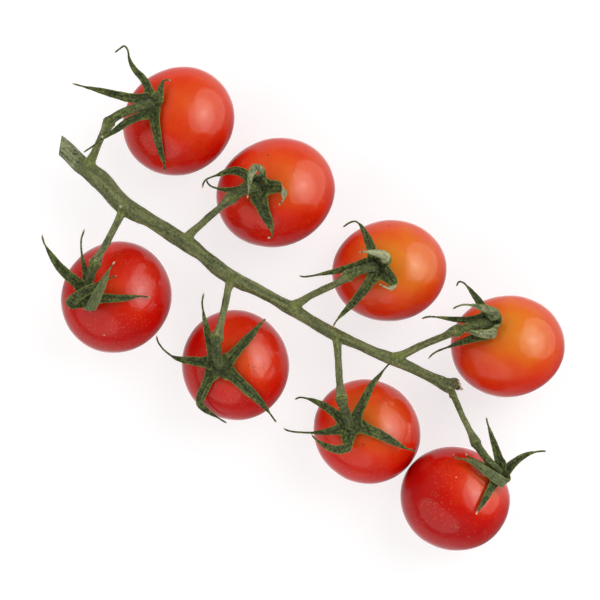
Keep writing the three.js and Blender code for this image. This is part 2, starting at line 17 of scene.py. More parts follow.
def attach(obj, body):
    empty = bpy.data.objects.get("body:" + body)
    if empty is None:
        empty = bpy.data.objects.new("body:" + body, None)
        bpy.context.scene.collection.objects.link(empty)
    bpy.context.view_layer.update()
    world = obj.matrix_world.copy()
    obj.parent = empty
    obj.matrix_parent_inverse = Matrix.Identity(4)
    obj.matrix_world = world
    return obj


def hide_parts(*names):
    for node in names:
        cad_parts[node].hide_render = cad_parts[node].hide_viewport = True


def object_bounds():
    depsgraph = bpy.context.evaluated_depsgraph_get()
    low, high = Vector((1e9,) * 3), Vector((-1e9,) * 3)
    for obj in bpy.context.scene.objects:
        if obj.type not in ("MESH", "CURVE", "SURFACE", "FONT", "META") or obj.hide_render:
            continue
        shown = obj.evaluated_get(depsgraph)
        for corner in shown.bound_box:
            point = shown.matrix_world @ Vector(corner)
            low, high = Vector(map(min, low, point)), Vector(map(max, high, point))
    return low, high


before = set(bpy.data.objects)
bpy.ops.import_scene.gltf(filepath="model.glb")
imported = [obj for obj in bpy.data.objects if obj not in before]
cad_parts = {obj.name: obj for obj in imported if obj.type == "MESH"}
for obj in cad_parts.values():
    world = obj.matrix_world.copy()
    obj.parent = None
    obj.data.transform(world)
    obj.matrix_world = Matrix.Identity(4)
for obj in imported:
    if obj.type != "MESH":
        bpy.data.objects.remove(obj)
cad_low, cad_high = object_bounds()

bl_info = {
    "name": "Truss of Cherry Tomatoes",
    "version": (1, 0, 0),
    "blender": (4, 5, 0),
    "location": "3D View > Sidebar > Tomato Truss",
    "description": "Dresses the packed solids of a truss of cherry tomatoes",
    "category": "Object",
}

MM = 0.001
UP = Vector((0, 0, 1))

# The picture's scale, the pixel that lies at the frame's origin, and the stem's slope in it.
TYPICAL_FRUIT_MM = 29.5
TYPICAL_FRUIT_PX = 111
PX = TYPICAL_FRUIT_MM / TYPICAL_FRUIT_PX * MM
ORIGIN_PX = (292, 297)
PICTURE_MIDDLE_PX = (300, 300)
PICTURE_WIDTH_PX = 600
STEM_SLOPE = math.radians(31.3)

# The fruit: its flat spot on the table, the hollow under the calyx, and the point at its far end.
FLAT_SPOT_DEPTH = 0.22
HOLLOW_DEPTH = 0.07
HOLLOW_SPREAD = math.radians(17)
POINT_HEIGHT = 0.015
POINT_SPREAD = math.radians(9)
FURTHEST_SEEN = 0.98

# A sepal, in millimetres along and out of it, and in shares of its half width across it.
ROOT_CLEARANCE = 0.85
LEAST_CLEARANCE = 0.05
SEPAL_TAPER = 0.9
SEPAL_FULL = 2.5
SEPAL_THINNING = 0.3
SEPAL_HALF_THICKNESS = 0.4
SEPAL_SQUARENESS = 0.8
SEPAL_CURL = (0.1, 0.17)
STEEP_FOLD = 0.35
SIDE_EASINGS = 3
TAIL_WIDTH = 0.72
TIP_ROUNDING = 0.8
BROAD_FROM = (0.9, 2.0)
FREE_FROM = (1.6, 3.6)
ROOT_WIDENING = 1.5
ROOT_WIDEST = 2.4
ROOT_WIDENING_SPREAD = 1.5
EDGE_WANDER = 0.12
EDGE_WANDER_GRAIN = 0.45
EDGE_WAVE = 0.3
EDGE_WAVE_GRAIN = 0.3
GROOVE_DEPTH = 0.2
GROOVE_SPREAD = 0.15
SIDE_GROOVES = 0.5
SIDE_GROOVE_PLACE = 0.6
KEEL_HEIGHT = 0.22
KEEL_SPREAD = 0.2
FRESH_EDGE = 0.35
FRESH_EDGE_AT_ROOT = 0.4
FRESH_REACH = 2.5
PALE_BACK_FROM = (0.05, 0.5)
DRY_TIP = (1.2, 3.2)

# The disc in the calyx's middle, in millimetres, how fresh its rim is, and the painted shade round the
# stalk's foot in its middle.
DISC_RADIUS = 2.7
DISC_HALF_HEIGHT = 1.0
DISC_RIM_FRESHNESS = 0.35
DISC_RIM_FROM = 0.85
DISC_PAINTED_SHADE = 0.6
DISC_PAINTED_SHADE_SPREAD = 1.6

# The stalks, in millimetres, and in shares of their radius for the ridges and the lumps.
UPPER_STALK_RADIUS = 1.22
LOWER_STALK_RADIUS = 0.95
KNUCKLE_RADIUS = 1.6
UPPER_KNUCKLE_SPREAD = 1.1
LOWER_KNUCKLE_SPREAD = 2.6
KNUCKLE_LIP = 0.2
KNUCKLE_LIP_SPREAD = 0.45
FOOT_FLARE = 0.3
FOOT_FLARE_SPREAD = 1.2
STEM_FLARE = 0.8
STEM_FLARE_SPREAD = 1.9
SEAM = 0.03
RIDGES = 5
RIDGE_HEIGHT = 0.035
RIDGE_TWIST = 0.12
# RIDGE_SHADE is painted shade: how dark the hollows between the ridges are made.
RIDGE_SHADE = 0.5
LUMP_HEIGHT = 0.14
LUMPS_ROUND = 1.3
LUMPS_ALONG = 0.22
STALK_PALENESS = 0.12
RING_FRESHNESS = 0.4
RING_SPREAD = 0.25
FORK_FRESHNESS = 0.25
FORK_SPREAD = 3.5

# How finely each piece is made, and how a fruit's poles are told.
POLE_HEIGHT = 0.9999
SPAN_SAMPLES = 24
TANGENT_REACH = 0.004
SOLID_STALK_STEPS = 14
STALK_FACE = (0.1, 0.2, 1.0)
DISC_SEGMENTS = 40
DISC_RINGS = 20
FRUIT_SEGMENTS = 112
FRUIT_RINGS = 64
SEPAL_SIDES = 36
SEPAL_RINGS = 84
STALK_SIDES = 20
STALK_RINGS = 64
STEM_SIDES = 28
STEM_RINGS = 320
# How many near marks a point takes over, and how evenly; and small distances, in metres.
MARKS_BLENDED = 3
MARKS_SOFTNESS = 0.00003
BOX_MARGIN = 0.000001
CUT_TOLERANCE = 0.0000001
SHARPEST_SMOOTH = math.radians(40)

# The fruit's skin: its shape's small departures, where it is ripe, the painted lighter, more orange side
# turned up towards the lamps, and how far its marks reach.
HOLLOW_REACH = 0.62
POINT_REACH = 0.3
FRUIT_UNEVEN_GRAIN = 14
FRUIT_UNEVEN_HEIGHT = 0.35
USUAL_RIPENESS = 0.2
# Painted light: the skin is made lighter and more orange on the side turned towards the lamps.
PAINTED_LIT_SIDE = (55, 54)
PAINTED_LIT_SIDE_BLUSH = 0.23
PAINTED_LIT_SIDE_RISE = (0.0, 0.9)
SHOULDER_BLUSH = 0.1
SHOULDER_SPREAD = math.radians(26)
SCAR_SPREAD = math.radians(2.6)
# Single flecks: the fruit's number, x px, y px, radius mm, and how pale it is.
FLECKS = (
    (7, 363, 444, 0.4, 0),
    (2, 268, 155.6, 0.4, 0),
    (3, 389, 226, 0.4, 0),
    (8, 468, 536, 0.45, 0.15),
    (5, 105, 335, 0.35, 0.6),
    (8, 455.5, 476.5, 0.3, 0.8),
)

# Dry scabs on the stem and the calyces: x px, y px, radius mm.
SCABS = ((121, 207, 0.5), (103.4, 137.6, 0.45), (334, 326, 0.4))

# The stem's and the calyces' own small forms, in millimetres.
CALYX_EASINGS = 2
CALYX_UNEVEN_GRAIN = 0.9
CALYX_UNEVEN_HEIGHT = 0.1
STEM_EASINGS = 4
STEM_UNEVEN_GRAIN = 1.6
STEM_UNEVEN_HEIGHT = 0.14
CUT_RIM = 0.45
PITH_DEPTH = 0.35
CUT_PALENESS = 1.15
CUT_PALE_TO = (10, 17)
SPLINTER_SEED = 50
SPLINTER_DRY_FROM = (0.3, 0.9)

# The finishes' fine marks. Dots: how many to a metre, and their size as a share of their spacing.
# DOT_CORE is the share of a dot that is solid.
PALE_SPECKS = (760.0, 0.15)
FINE_SPECKS = (1400.0, 0.26)
DARK_SPECKS = (1250.0, 0.24)
FEW_SPOTS = (150.0, 0.035)
SMALL_PITS = (1350.0, 0.34)
# The down dots are painted glints: light caught by fine hairs.
DOWN_GLINT_DOTS = (1900.0, 0.26)
DOT_CORE = 0.4
# Patches: how many to a metre, how finely they break up, and the noise's values at their edges. The
# streaks are counted to a millimetre, along and round the piece.
SPECK_PATCHES = (210.0, 2.0, 0.42, 0.62)
RIPE_PATCHES = (120.0, 2.0, 0.38, 0.55)
HAIR_PATCHES = (300.0, 1.0, 0.3, 0.7)
LEAF_MOTTLE = (1300.0, 3.0, 0.42, 0.6)
LEAF_STREAKS = (1.0, 2.0, 0.42, 0.6)
# Clouds: how many to a metre, in the ripeness and in the skin's close and broad relief.
RIPENESS_CLOUDS = 130.0
SKIN_CLOSE = 2600.0
SKIN_BROAD = 240.0
PIT_DEPTH = 2.5
# The marks' own values between which each tone sets in: ripest skin, brown tips, and straw tips.
RIPEST = (0.7, 0.3)
BROWN_FROM = (0.08, 0.45)
STRAW_FROM = (0.5, 0.85)
# How a green's light and dark lie: how far its streaks are drawn out, how strongly the streaks, the
# fine mottle and the broad patches show, and the broad patches themselves.
Grown = namedtuple("Grown", "stretch streaks mottle breadth patches")
LEAF_GRAIN = Grown((0.4, 1.5, 1.0), 0.35, 0.65, -0.3, (240.0, 2.0, 0.42, 0.6))
STEM_GRAIN = Grown((0.14, 1.0, 1.0), 0.35, 0.4, 0.25, (120.0, 2.0, 0.42, 0.6))

# The stage. A light has its direction in the picture, counted from the right and off the
# vertical, in degrees, its size in metres and its power in watts. The lamps light every surface,
# and the reflectors are seen only as gloss.
FLOOR_SIZE = 6.0
LIGHT_DISTANCE = 2.3
LAMPS = (
    ("high_lamp", (38, 46), (2.4, 2.4), 29.0),
    ("right_lamp", (30, 74), (2.6, 2.6), 24.0),
    ("back_lamp", (138, 62), (2.6, 2.6), 37.0),
    ("left_lamp", (190, 58), (2.6, 2.6), 12.0),
    ("front_lamp", (278, 64), (2.6, 2.6), 43.0),
)
REFLECTORS = (
    ("right_reflector", (16, 71), (4.0, 3.4), 46.0),
    ("right_softbox", (10, 48), (2.9, 2.5), 25.0),
    ("right_softbox_middle", (10, 49), (1.9, 1.6), 5.6),
    ("right_softbox_core", (12, 49), (0.9, 0.9), 2.6),
    ("right_softbox_bulb", (14, 49), (0.35, 0.35), 0.8),
    ("left_reflector", (-130, 62), (4.4, 2.6), 20.0),
)
REFLECTOR_TINT = (1.0, 0.95, 0.86)
SOFTBOX_TINT = (0.6, 0.94, 0.94)
# The room's darker sides and, below nought, its lighter one: which way, between which cosines each
# sets in, and how dark it is.
ROOM_SIDES = ((322, 0.5, 0.92, 0.72), (150, 0.8, 0.98, 0.45), (20, 0.4, 0.95, -0.4))
# The room's light by height, from straight below to straight above: where each value holds.
ROOM_LIGHT = (
    (-1.0, 1.5), (-0.93, 0.72), (-0.82, 0.44), (-0.3, 0.42), (-0.18, 0.12), (0.3, 0.12), (1.0, 0.15)
)
# The camera: the height over the table that it aims at, and its sensor's width, in millimetres.
AIM_HEIGHT = 16
SENSOR_WIDTH = 36

# Fine hairs: how far they lean, their buried root and their radius in millimetres, and how their
# lengths spread round the usual one.
HAIR_LEAN = 0.35
HAIR_ROOT = 0.05
HAIR_SPREAD = (0.5, 1.25)
HAIR_RADIUS = 0.03
HAIR_COLOURS = ((0.42, 0.45, 0.3), (0.66, 0.66, 0.5))

# The stem, from the cut end to the last fruit: x px, y px, height mm, radius mm.
STEM_ROUTE = (
    (49, 134.5, 19.4, 2.25),
    (62, 146, 19.6, 2.3),
    (80, 163, 20, 2.3),
    (100, 179.5, 20.4, 2.6),
    (116, 197, 20.4, 2.6),
    (130, 209.5, 20.6, 2.5),
    (150, 220.5, 20.8, 2),
    (170, 233.5, 21, 2.05),
    (187, 244, 21, 2.25),
    (204, 256.5, 20.8, 1.8),
    (222, 271, 20.6, 2.1),
    (236, 279.5, 20.6, 1.95),
    (256, 289, 20.8, 1.6),
    (276, 300, 21, 1.6),
    (293, 309.5, 21, 1.85),
    (310, 320.2, 21, 1.55),
    (334, 334, 20.8, 1.75),
    (352, 342, 20.8, 1.45),
    (374, 352, 20.8, 1.4),
    (394, 360, 20.8, 1.65),
    (412, 368, 20.6, 1.35),
    (430, 376.5, 20.4, 1.45),
    (445, 384, 20.2, 1.8),
    (453, 389.5, 20, 1.5),
)
# The cut across the stem's thick end.
CUT_PLACE = (60.7, 145, 19.6)
CUT_TURN_DEG = 9
# The splinters where the truss's tip broke off: the radii of each one's two ends in mm, how dry its
# end is, then its points.
SPLINTERS = (
    ((1.35, 0.9), 0.3, ((445, 382.5, 20.2), (451, 383, 20), (457, 384.6, 19.6))),
    ((0.8, 0.3), 0.75, ((451, 381, 20), (455, 379.6, 19.9), (459.4, 381.2, 19.8))),
    ((0.75, 0.25), 1.0, ((452, 384, 19.6), (457, 383.6, 19.4), (461.2, 384.4, 19.4))),
    ((0.8, 0.35), 0.95, ((452, 385.5, 19.6), (457.6, 387, 19.2), (463, 389.4, 19))),
    ((0.6, 0.25), 0.9, ((452, 387, 19), (456, 388.2, 18.6), (459.2, 390.2, 18.2))),
    ((0.6, 0.2), 0.5, ((450, 389, 19.8), (453.6, 393, 19.6), (456.6, 395, 19.4))),
    ((0.6, 0.3), 0.3, ((451.4, 392, 19.8), (450.4, 395, 19.8), (450, 398, 19.6))),
)


def sepal(width, tail, *route, **ways):
    """A sepal: its width in mm, the share of it that is a thread, and its points from the calyx out.

    A point with no height lies on the skin. full keeps the sepal wide longer. roll turns its back
    upwards between two shares of its length, by some degrees. bleach dries that back pale, and dry
    is the length of its withered tip in mm.
    """
    return dict(width=width, tail=tail, route=route, **ways)


# Each fruit: its middle and its stem end in px; its length, width and height in mm, and the turn
# of its length. It blushes orange round x px, y px, by a strength, and so many degrees about; base
# is how far from ripe the rest is. Its pits lie round x px, y px, within some mm. Its stalk runs from
# the calyx to the stem, x px, y px, height mm, with the knuckle at one of those points, and slim
# is the stalk's thickness as a share of the usual.
FRUITS = (
    dict(
        middle=(178.6, 120.9), stem_end=(152, 105), size=(30.8, 28.2, 27.8), turn=-36,
        blush=(194, 112, 0.24, 46), knuckle=5,
        stalk=(
            (152, 105, 25), (148, 105.2, 27.6), (139.5, 107.9, 29.5), (129.5, 111.8, 30.6),
            (119.5, 116.4, 30.9), (110.8, 122.8, 30.3), (105.5, 132, 28.2), (100.4, 142, 25.6),
            (96, 151.5, 23.2), (90, 163.5, 20.8),
        ),
        sepals=(
            sepal(2.4, 0.25, (151, 99, 26.2), (149, 90, 25.9), (144, 80, 25.2), (135, 70, 24.6),
                (130, 60, 24.2), (128.3, 51, 23.6), (125, 46.8, 23), (119.5, 50, 22), (114.5, 53.8, 21)),
            sepal(2.7, 0.1, (147, 101, 26.4), (134, 99.3, 26.5), (118, 96, 26.4), (100, 91.2, 26),
                (85, 87.6, 25.4), (72, 84, 24.8)),
            sepal(2.3, 0.15, (156.5, 102, 26.4), (160, 95, 26.4), (161.6, 88, 26), (163.6, 82.4, 25.5),
                (167, 80.6, 24.8), (172, 81.5, 24)),
            sepal(2.9, 0.1, (155, 113), (157.3, 123), (160.2, 140), (163.5, 155), (165, 164, 22.8),
                (164.3, 172, 20.4)),
            sepal(2.5, 0.2, (147, 113.5, 26.2), (137, 118.4, 26.6), (127, 123.6, 27.2), (117, 130.8, 28),
                (109, 136.2, 29.6), (102.5, 140.4, 29.7), (96, 145.6, 28.8), (84, 153.5, 26.8)),
        ),
    ),
    dict(
        middle=(275.6, 192.5), stem_end=(257, 188), size=(32.2, 28.7, 28.2), turn=-24,
        blush=(290, 182, 0.32, 46), knuckle=4,
        stalk=(
            (257, 188, 26.2), (254.5, 187.6, 29.2), (248, 189.8, 31.2), (240, 193.8, 32),
            (231, 199.5, 31.6), (221, 207.8, 29.5), (211, 216.2, 27), (200, 225.7, 24.2),
            (192, 232.7, 22.3), (186, 239, 21),
        ),
        sepals=(
            sepal(2.9, 0.25, (252, 181, 27.8), (246, 175.5, 28.8), (238, 171.7, 29.2), (229, 172.2, 28.8),
                (220, 175, 27.8), (211, 178, 26.8), (206, 180.5, 26.2), (203.4, 185, 25.8),
                (202.8, 190, 25.4)),
            sepal(2.2, 0.2, (247, 188, 27.8), (237, 190.6, 27.8), (229, 190.6, 27.4), (220, 189.3, 27),
                (212, 187, 26.4), (207.8, 183, 25.6), (207, 179.5, 25.2)),
            sepal(2.8, 0.1, (260, 181, 28.4), (261.6, 175, 30.6), (259.4, 170, 33), (254.8, 169.6, 34.3),
                (251.6, 175, 34.7), (249.8, 184, 34.7), (249, 192, 34.1), (247.5, 200, 33.2), full=3,
                roll=(0.28, 0.46, 180), bleach=1.28),
            sepal(4, 0.15, (264, 187.2, 28), (271, 187.4, 28.9), (278, 187.6, 30.2), (283, 190.2, 31),
                (284.2, 196, 30.6), (282.6, 202, 29.8), (278, 206, 28.8), full=3, roll=(0.5, 0.68, 160),
                bleach=1.4),
            sepal(4, 0.15, (259.5, 195), (262, 203), (265.8, 212.5), (270, 221), (272.3, 229),
                (272.4, 235, 24.4), (270, 238.3, 24.6), (267.5, 236.8, 25.2)),
        ),
    ),
    dict(
        middle=(389.5, 270.6), stem_end=(376, 268), size=(30.7, 27.1, 27.2), turn=-9,
        blush=(398, 268, 0.54, 70), knuckle=4,
        stalk=(
            (376, 268, 26), (373.5, 266.8, 28.8), (366, 268.4, 30.8), (357, 271.5, 31.4), (349, 275.3, 31),
            (336.5, 283.3, 28.6), (324.6, 288.9, 26), (312.6, 294.7, 23.6), (303.6, 300, 22.1),
            (294, 306, 21),
        ),
        sepals=(
            sepal(3, 0.25, (373.5, 258, 28.2), (370.5, 248, 28.8), (367, 238.5, 28.6), (362.8, 230, 28),
                (359.4, 224.6, 27.4), (355, 221.8, 26.8), (349.5, 223, 26), (342, 228, 24.8)),
            sepal(3.2, 0.1, (381, 263.5, 28.4), (385, 260.5, 30.4), (384.5, 256.2, 32.4),
                (378, 253.8, 33.6), (370, 252.4, 33.8), (364, 252, 33.4), (358, 252.6, 32.8), full=3,
                roll=(0.3, 0.48, 170), bleach=1.55),
            sepal(2.2, 0.15, (367, 263, 28), (355, 266, 28.4), (345, 268.8, 28.2), (335, 271.4, 27.6),
                (322, 274, 26.6), (310, 276.2, 25.6), (303, 276.8, 25), (298, 275.5, 24.6)),
            sepal(3, 0.12, (373, 276, 28.2), (368, 284, 28.6), (361, 293, 28.2), (353, 302.5, 27.4),
                (345, 311, 26.4), (338, 318.5, 25.4), (334, 324.5, 24.6), (332.3, 331, 24)),
            sepal(3.8, 0.15, (383, 272.6, 28.2), (388, 277, 29), (392.4, 282.6, 30.2), (393.6, 287, 31.4),
                (389, 288.4, 32.2), (384, 286.8, 32.4), (378.5, 283.8, 32.2), full=3,
                roll=(0.56, 0.74, 160), bleach=1.5),
        ),
    ),
    dict(
        middle=(507.9, 346.2), stem_end=(489, 323), size=(30.5, 27.3, 27.6), turn=-5,
        blush=(508, 338, 0.52, 72), knuckle=5,
        stalk=(
            (489, 323, 24.8), (485, 323, 27.2), (477, 325, 29), (468, 326.9, 29.8), (460, 329, 29.8),
            (453.8, 331, 29.4), (441, 337, 27.2), (430, 341.4, 25.2), (418.4, 346.4, 23.3),
            (408.6, 351.6, 22), (396, 358, 20.8),
        ),
        sepals=(
            sepal(2.5, 0.2, (486, 313, 26.8), (480, 304, 27), (473, 294.5, 26.8), (467, 287, 26.2),
                (462, 282.4, 25.4), (458.3, 282, 24.8), (455.5, 287, 24)),
            sepal(3, 0.25, (493, 319, 26.8), (494, 314.2, 28.8), (490, 311, 30.4), (484, 308.7, 31.4),
                (477, 306.8, 31.6), (469, 305, 31.2), (462, 304.7, 30.6), (456.5, 306.4, 30),
                (451, 309.3, 29.2), full=3, roll=(0.14, 0.32, 165), bleach=1.2),
            sepal(2.1, 0.15, (481, 318, 26.8), (470, 319.5, 27.6), (460, 319.6, 27.6), (450, 318.8, 27.2),
                (440, 317.4, 26.6), (430, 316.6, 25.8), (425, 317.2, 25.4), (420.5, 319, 25)),
            sepal(3, 0.1, (493, 328, 26.4), (494, 332.2, 28.2), (488.5, 334, 29.8), (481, 333.8, 30.6),
                (474, 332.8, 30.8), (467, 331.6, 30.6), (461.3, 331, 30.2), full=4, roll=(0.16, 0.36, 165),
                bleach=1.25, dry=2.4),
            sepal(2.5, 0.25, (485, 334, 26.6), (478, 337.2, 26.8), (470, 338.9, 26.6), (460, 342.2, 26),
                (450, 346, 25.2), (442, 349, 24.4), (436, 351.5, 23.8), (431, 355, 23.2),
                (427.5, 359.5, 22.6)),
        ),
    ),
    dict(
        middle=(116.3, 297.1), stem_end=(90, 296), size=(30.6, 28.9, 28.4), turn=-52,
        blush=(116, 298, 0.28, 38), base=0.02, pits=((139.5, 283.5), 1.9), knuckle=4,
        stalk=(
            (90, 296, 25.6), (89.6, 290.5, 28.4), (90.5, 282, 30.4), (92.6, 273, 31.4), (95.6, 264.6, 31.2),
            (101, 254.5, 29.2), (106, 246, 27), (111, 236, 24.8), (116, 226, 22.8), (121, 215.5, 21.2),
            (125, 206.5, 20.6),
        ),
        sepals=(
            sepal(3.2, 0.12, (84, 289, 27.4), (77.5, 282.2, 28.2), (69, 275.2, 28.2), (61, 267.3, 27.8),
                (54.5, 258.5, 27), (49, 250, 26.2), (45, 243, 25.4), (43.5, 238, 25), (43, 234, 24.6)),
            sepal(2, 0.3, (87.3, 284, 27.4), (86.4, 273, 27.8), (84.5, 263.5, 27.6), (82.8, 254, 27),
                (82, 245, 26.2), (82.3, 239, 25.6), (84, 233.5, 25), (85.7, 228, 24.6)),
            sepal(2.7, 0.15, (98, 297.2), (107, 298), (118, 298.2), (129, 297.4), (140, 296.2), (150, 297.5)),
            sepal(3.1, 0.1, (84, 299, 27.4), (77.5, 302.6, 27.8), (73, 303.6, 29.4), (73.6, 300.6, 31.2),
                (79, 296.6, 32.4), (88, 291, 33.2), (98, 286, 33.4), (108, 280.3, 33), (118.5, 275.5, 32.4),
                full=4),
            sepal(3.1, 0.1, (91, 303, 27.6), (90.6, 308, 28.8), (91.4, 309.2, 31), (94.6, 303.5, 32.8),
                (99, 295, 34), (103.5, 285.5, 34.8), (108, 275.5, 35.1), (112.5, 267, 34.9),
                (117, 261, 34.5), full=4),
        ),
    ),
    dict(
        middle=(235.4, 364.9), stem_end=(220, 366), size=(29.6, 28.8, 28), turn=80,
        blush=(244, 362, 0.32, 38), base=0.1, pits=((257, 365), 2.2), knuckle=4,
        stalk=(
            (220, 366, 26.4), (218.8, 361.5, 29.4), (217.6, 354.5, 31.8), (217, 347.5, 33.2),
            (217.3, 341, 33.6), (219.4, 331, 32), (222, 320, 29.4), (224.5, 309, 26.8), (226.5, 299, 24.4),
            (228.3, 289, 22.2), (231.5, 279.5, 20.6),
        ),
        sepals=(
            sepal(2.6, 0.2, (214, 356, 27.8), (210, 341, 28.8), (206.5, 326, 28.8), (204, 313, 28.2),
                (202.7, 303, 27.4), (203.4, 297, 26.8), (204.5, 292, 26.2)),
            sepal(3, 0.32, (211, 361.8, 27.8), (202, 361.7, 28.2), (191, 360.3, 28), (181, 359, 27.4),
                (174, 356.7, 26.8), (169, 353.5, 26.2), (163, 348, 25.6), (159, 342.5, 25),
                (157.3, 337.5, 24.6), (157.3, 334, 24.4)),
            sepal(3, 0.1, (214, 372), (209.5, 380), (204.6, 389, 25), (201, 397, 23.2), (200.4, 403.5, 22),
                (204.5, 409, 21), (212, 413.8, 20), (220, 418.8, 18.8), (227.5, 423.5, 18)),
            sepal(3.3, 0.12, (229, 371.6), (238, 379), (247, 387.6), (256, 396.8, 25.6), (263, 404.5, 24),
                (269, 412, 22.4), (277, 423, 20)),
            sepal(3, 0.05, (228.5, 360), (238, 350.4), (246, 341.5), (253, 333, 25.6), (260, 325, 23.6),
                (266.3, 318, 21.4)),
        ),
    ),
    dict(
        middle=(366.8, 431.3), stem_end=(350, 427), size=(28.9, 27.7, 27.6), turn=33,
        blush=(366, 424, 0.4, 48), knuckle=4,
        stalk=(
            (350, 427, 26), (348.8, 421.5, 29), (345.8, 413, 31.4), (343, 405, 32.8), (341.2, 397.5, 33.1),
            (339.8, 386, 31), (339, 375, 28.2), (338.3, 363, 25.4), (337.5, 351, 22.8), (337.2, 342, 21.2),
            (337.2, 335.5, 20.8),
        ),
        sepals=(
            sepal(2.7, 0.15, (341, 418.5, 27.8), (332, 410.6, 28.8), (323, 404.7, 29), (314, 400.3, 28.6),
                (306, 397.7, 27.8), (299.5, 397, 27), (294, 399.5, 26.2)),
            sepal(2.6, 0.4, (341, 428, 27.6), (331, 430.4, 28), (322, 431.6, 28), (312, 432, 27.6),
                (303, 431.8, 27), (295, 431.3, 26.4), (288, 430, 25.8), (282.5, 427.3, 25.2)),
            sepal(2.8, 0.1, (348, 435, 27.4), (347.6, 441.6, 27.8), (346.4, 446.6, 29), (341.5, 448.4, 30),
                (335, 448.4, 30.3), (327, 445.7, 30), (320, 441.8, 29.4), (314.5, 437.5, 28.6),
                (311, 433, 27.8), full=3),
            sepal(3.1, 0.1, (358, 425.6), (368, 429.2), (378, 433.6), (388, 438.6), (397, 443.3, 26.4),
                (405, 447.4, 25.2), (416, 451, 23.4)),
            sepal(2.8, 0.12, (355.5, 417, 27.8), (360, 407, 28.6), (365, 397, 28.8), (370, 387, 28.4),
                (375.5, 379.5, 27.6), (381.5, 372, 26.6), (387.5, 365, 25.6), (393, 361, 24.8)),
        ),
    ),
    dict(
        middle=(454.8, 498.6), stem_end=(496, 473), size=(29.4, 27.7, 28.2), turn=19,
        blush=(482, 482, 0.42, 40), base=-0.02, knuckle=5, slim=0.84,
        stalk=(
            (497, 472.4, 20), (496.6, 469.6, 23), (493, 465.5, 24.4), (487.5, 459.5, 25),
            (481.5, 452, 25.2), (476.2, 444.5, 24.8), (471, 434, 23.6), (466, 424, 22.6),
            (460.4, 412.5, 21.6), (455.6, 401, 20.8), (451, 391, 20), (447, 385, 20),
        ),
        sepals=(
            sepal(2.4, 0.1, (499.5, 464, 19.6), (497.5, 455.5, 20), (495, 447, 20.2), (491.8, 437.5, 20.4),
                (489, 429, 20.4), (487, 422, 20.2), (485.6, 416, 20)),
            sepal(2.6, 0.15, (506.5, 469.5, 18), (512, 464.2, 18.4), (518, 459.2, 18.8), (525, 455, 19),
                (532, 452.4, 19), (539, 451.2, 18.6), (547, 451, 18)),
            sepal(2.9, 0.12, (502.5, 477, 20.4), (505.2, 480.6, 22.2), (502.6, 481.8, 24.6),
                (495, 477, 26.2), (486, 470.7, 26.8), (478, 465, 26.6), (470, 460.6, 26),
                (462, 458.4, 25.4), (456, 457.4, 25), (452, 453, 24.6), full=4),
            sepal(2.9, 0, (494.4, 479), (490, 485), (485, 493), (480, 502), (476, 508.4), (473.4, 513.4)),
            sepal(2.2, 0.15, (492, 470.5, 23.4), (484, 465.6, 24.9), (477, 461, 25), (471, 457.6, 24.6),
                (467, 455.8, 24.2), (465, 452, 23.8)),
        ),
    ),
)


# One place along a route: its share of the length, its point, and three directions square to each
# other: along the route, across it, and out of its upper face.
Place = namedtuple("Place", "share point along side face")


def place(x, y, height=0.0):
    """A pixel of the picture, at a height over the table in millimetres, as a point in metres."""
    flat = Vector(((x - ORIGIN_PX[0]) * PX, (ORIGIN_PX[1] - y) * PX, height * MM))
    return Matrix.Rotation(STEM_SLOPE, 3, "Z") @ flat


def picture_direction(turn_deg, tilt_deg):
    """A direction, counted in the picture from the right, and off the vertical."""
    turn, tilt = math.radians(turn_deg), math.radians(tilt_deg)
    flat = Vector((math.sin(tilt) * math.cos(turn), math.sin(tilt) * math.sin(turn), math.cos(tilt)))
    return Matrix.Rotation(STEM_SLOPE, 3, "Z") @ flat


def bell(distance, spread):
    """One at no distance, and falling smoothly to nothing a few spreads away."""
    return math.exp(-((distance / spread) ** 2))


def eased(value, low, high):
    """Nought up to low, one from high, and a smooth rise between."""
    share = min(1.0, max(0.0, (value - low) / (high - low)))
    return share * share * (3 - 2 * share)


class Route:
    """A smooth line through points, measured along its length. Each point may carry a radius too."""

    def __init__(self, points, radii=None):
        columns = [list(point) for point in points]
        if radii:
            columns = [[*point, radius] for point, radius in zip(columns, radii)]
        knots = np.array(columns)
        knots = np.vstack([2 * knots[0] - knots[1], knots, 2 * knots[-1] - knots[-2]])
        steps = np.linspace(0, 1, SPAN_SAMPLES, endpoint=False)[:, None]
        spans = []
        for before, start, end, after in zip(knots, knots[1:], knots[2:], knots[3:]):
            first, middle, last = (
                math.sqrt(np.linalg.norm(b[:3] - a[:3]))
                for a, b in ((before, start), (start, end), (end, after))
            )
            leave = (start - before) / first - (end - before) / (first + middle)
            leave = (leave + (end - start) / middle) * middle
            arrive = (end - start) / middle - (after - start) / (middle + last)
            arrive = (arrive + (after - end) / last) * middle
            rise = 3 * (end - start) - 2 * leave - arrive
            turn = 2 * (start - end) + leave + arrive
            spans.append(start + leave * steps + rise * steps**2 + turn * steps**3)
        self.line = np.vstack([*spans, knots[-2]])
        gaps = np.linalg.norm(np.diff(self.line[:, :3], axis=0), axis=1)
        self.reached = np.concatenate([[0.0], np.cumsum(gaps)])
        self.length = float(self.reached[-1])

    def _at(self, share, column):
        return float(np.interp(share * self.length, self.reached, self.line[:, column]))

    def point(self, share):
        return Vector([self._at(share, column) for column in range(3)])

    def radius(self, share):
        return self._at(share, 3)

    def along(self, share):
        ahead = self.point(min(1.0, share + TANGENT_REACH))
        return (ahead - self.point(max(0.0, share - TANGENT_REACH))).normalized()


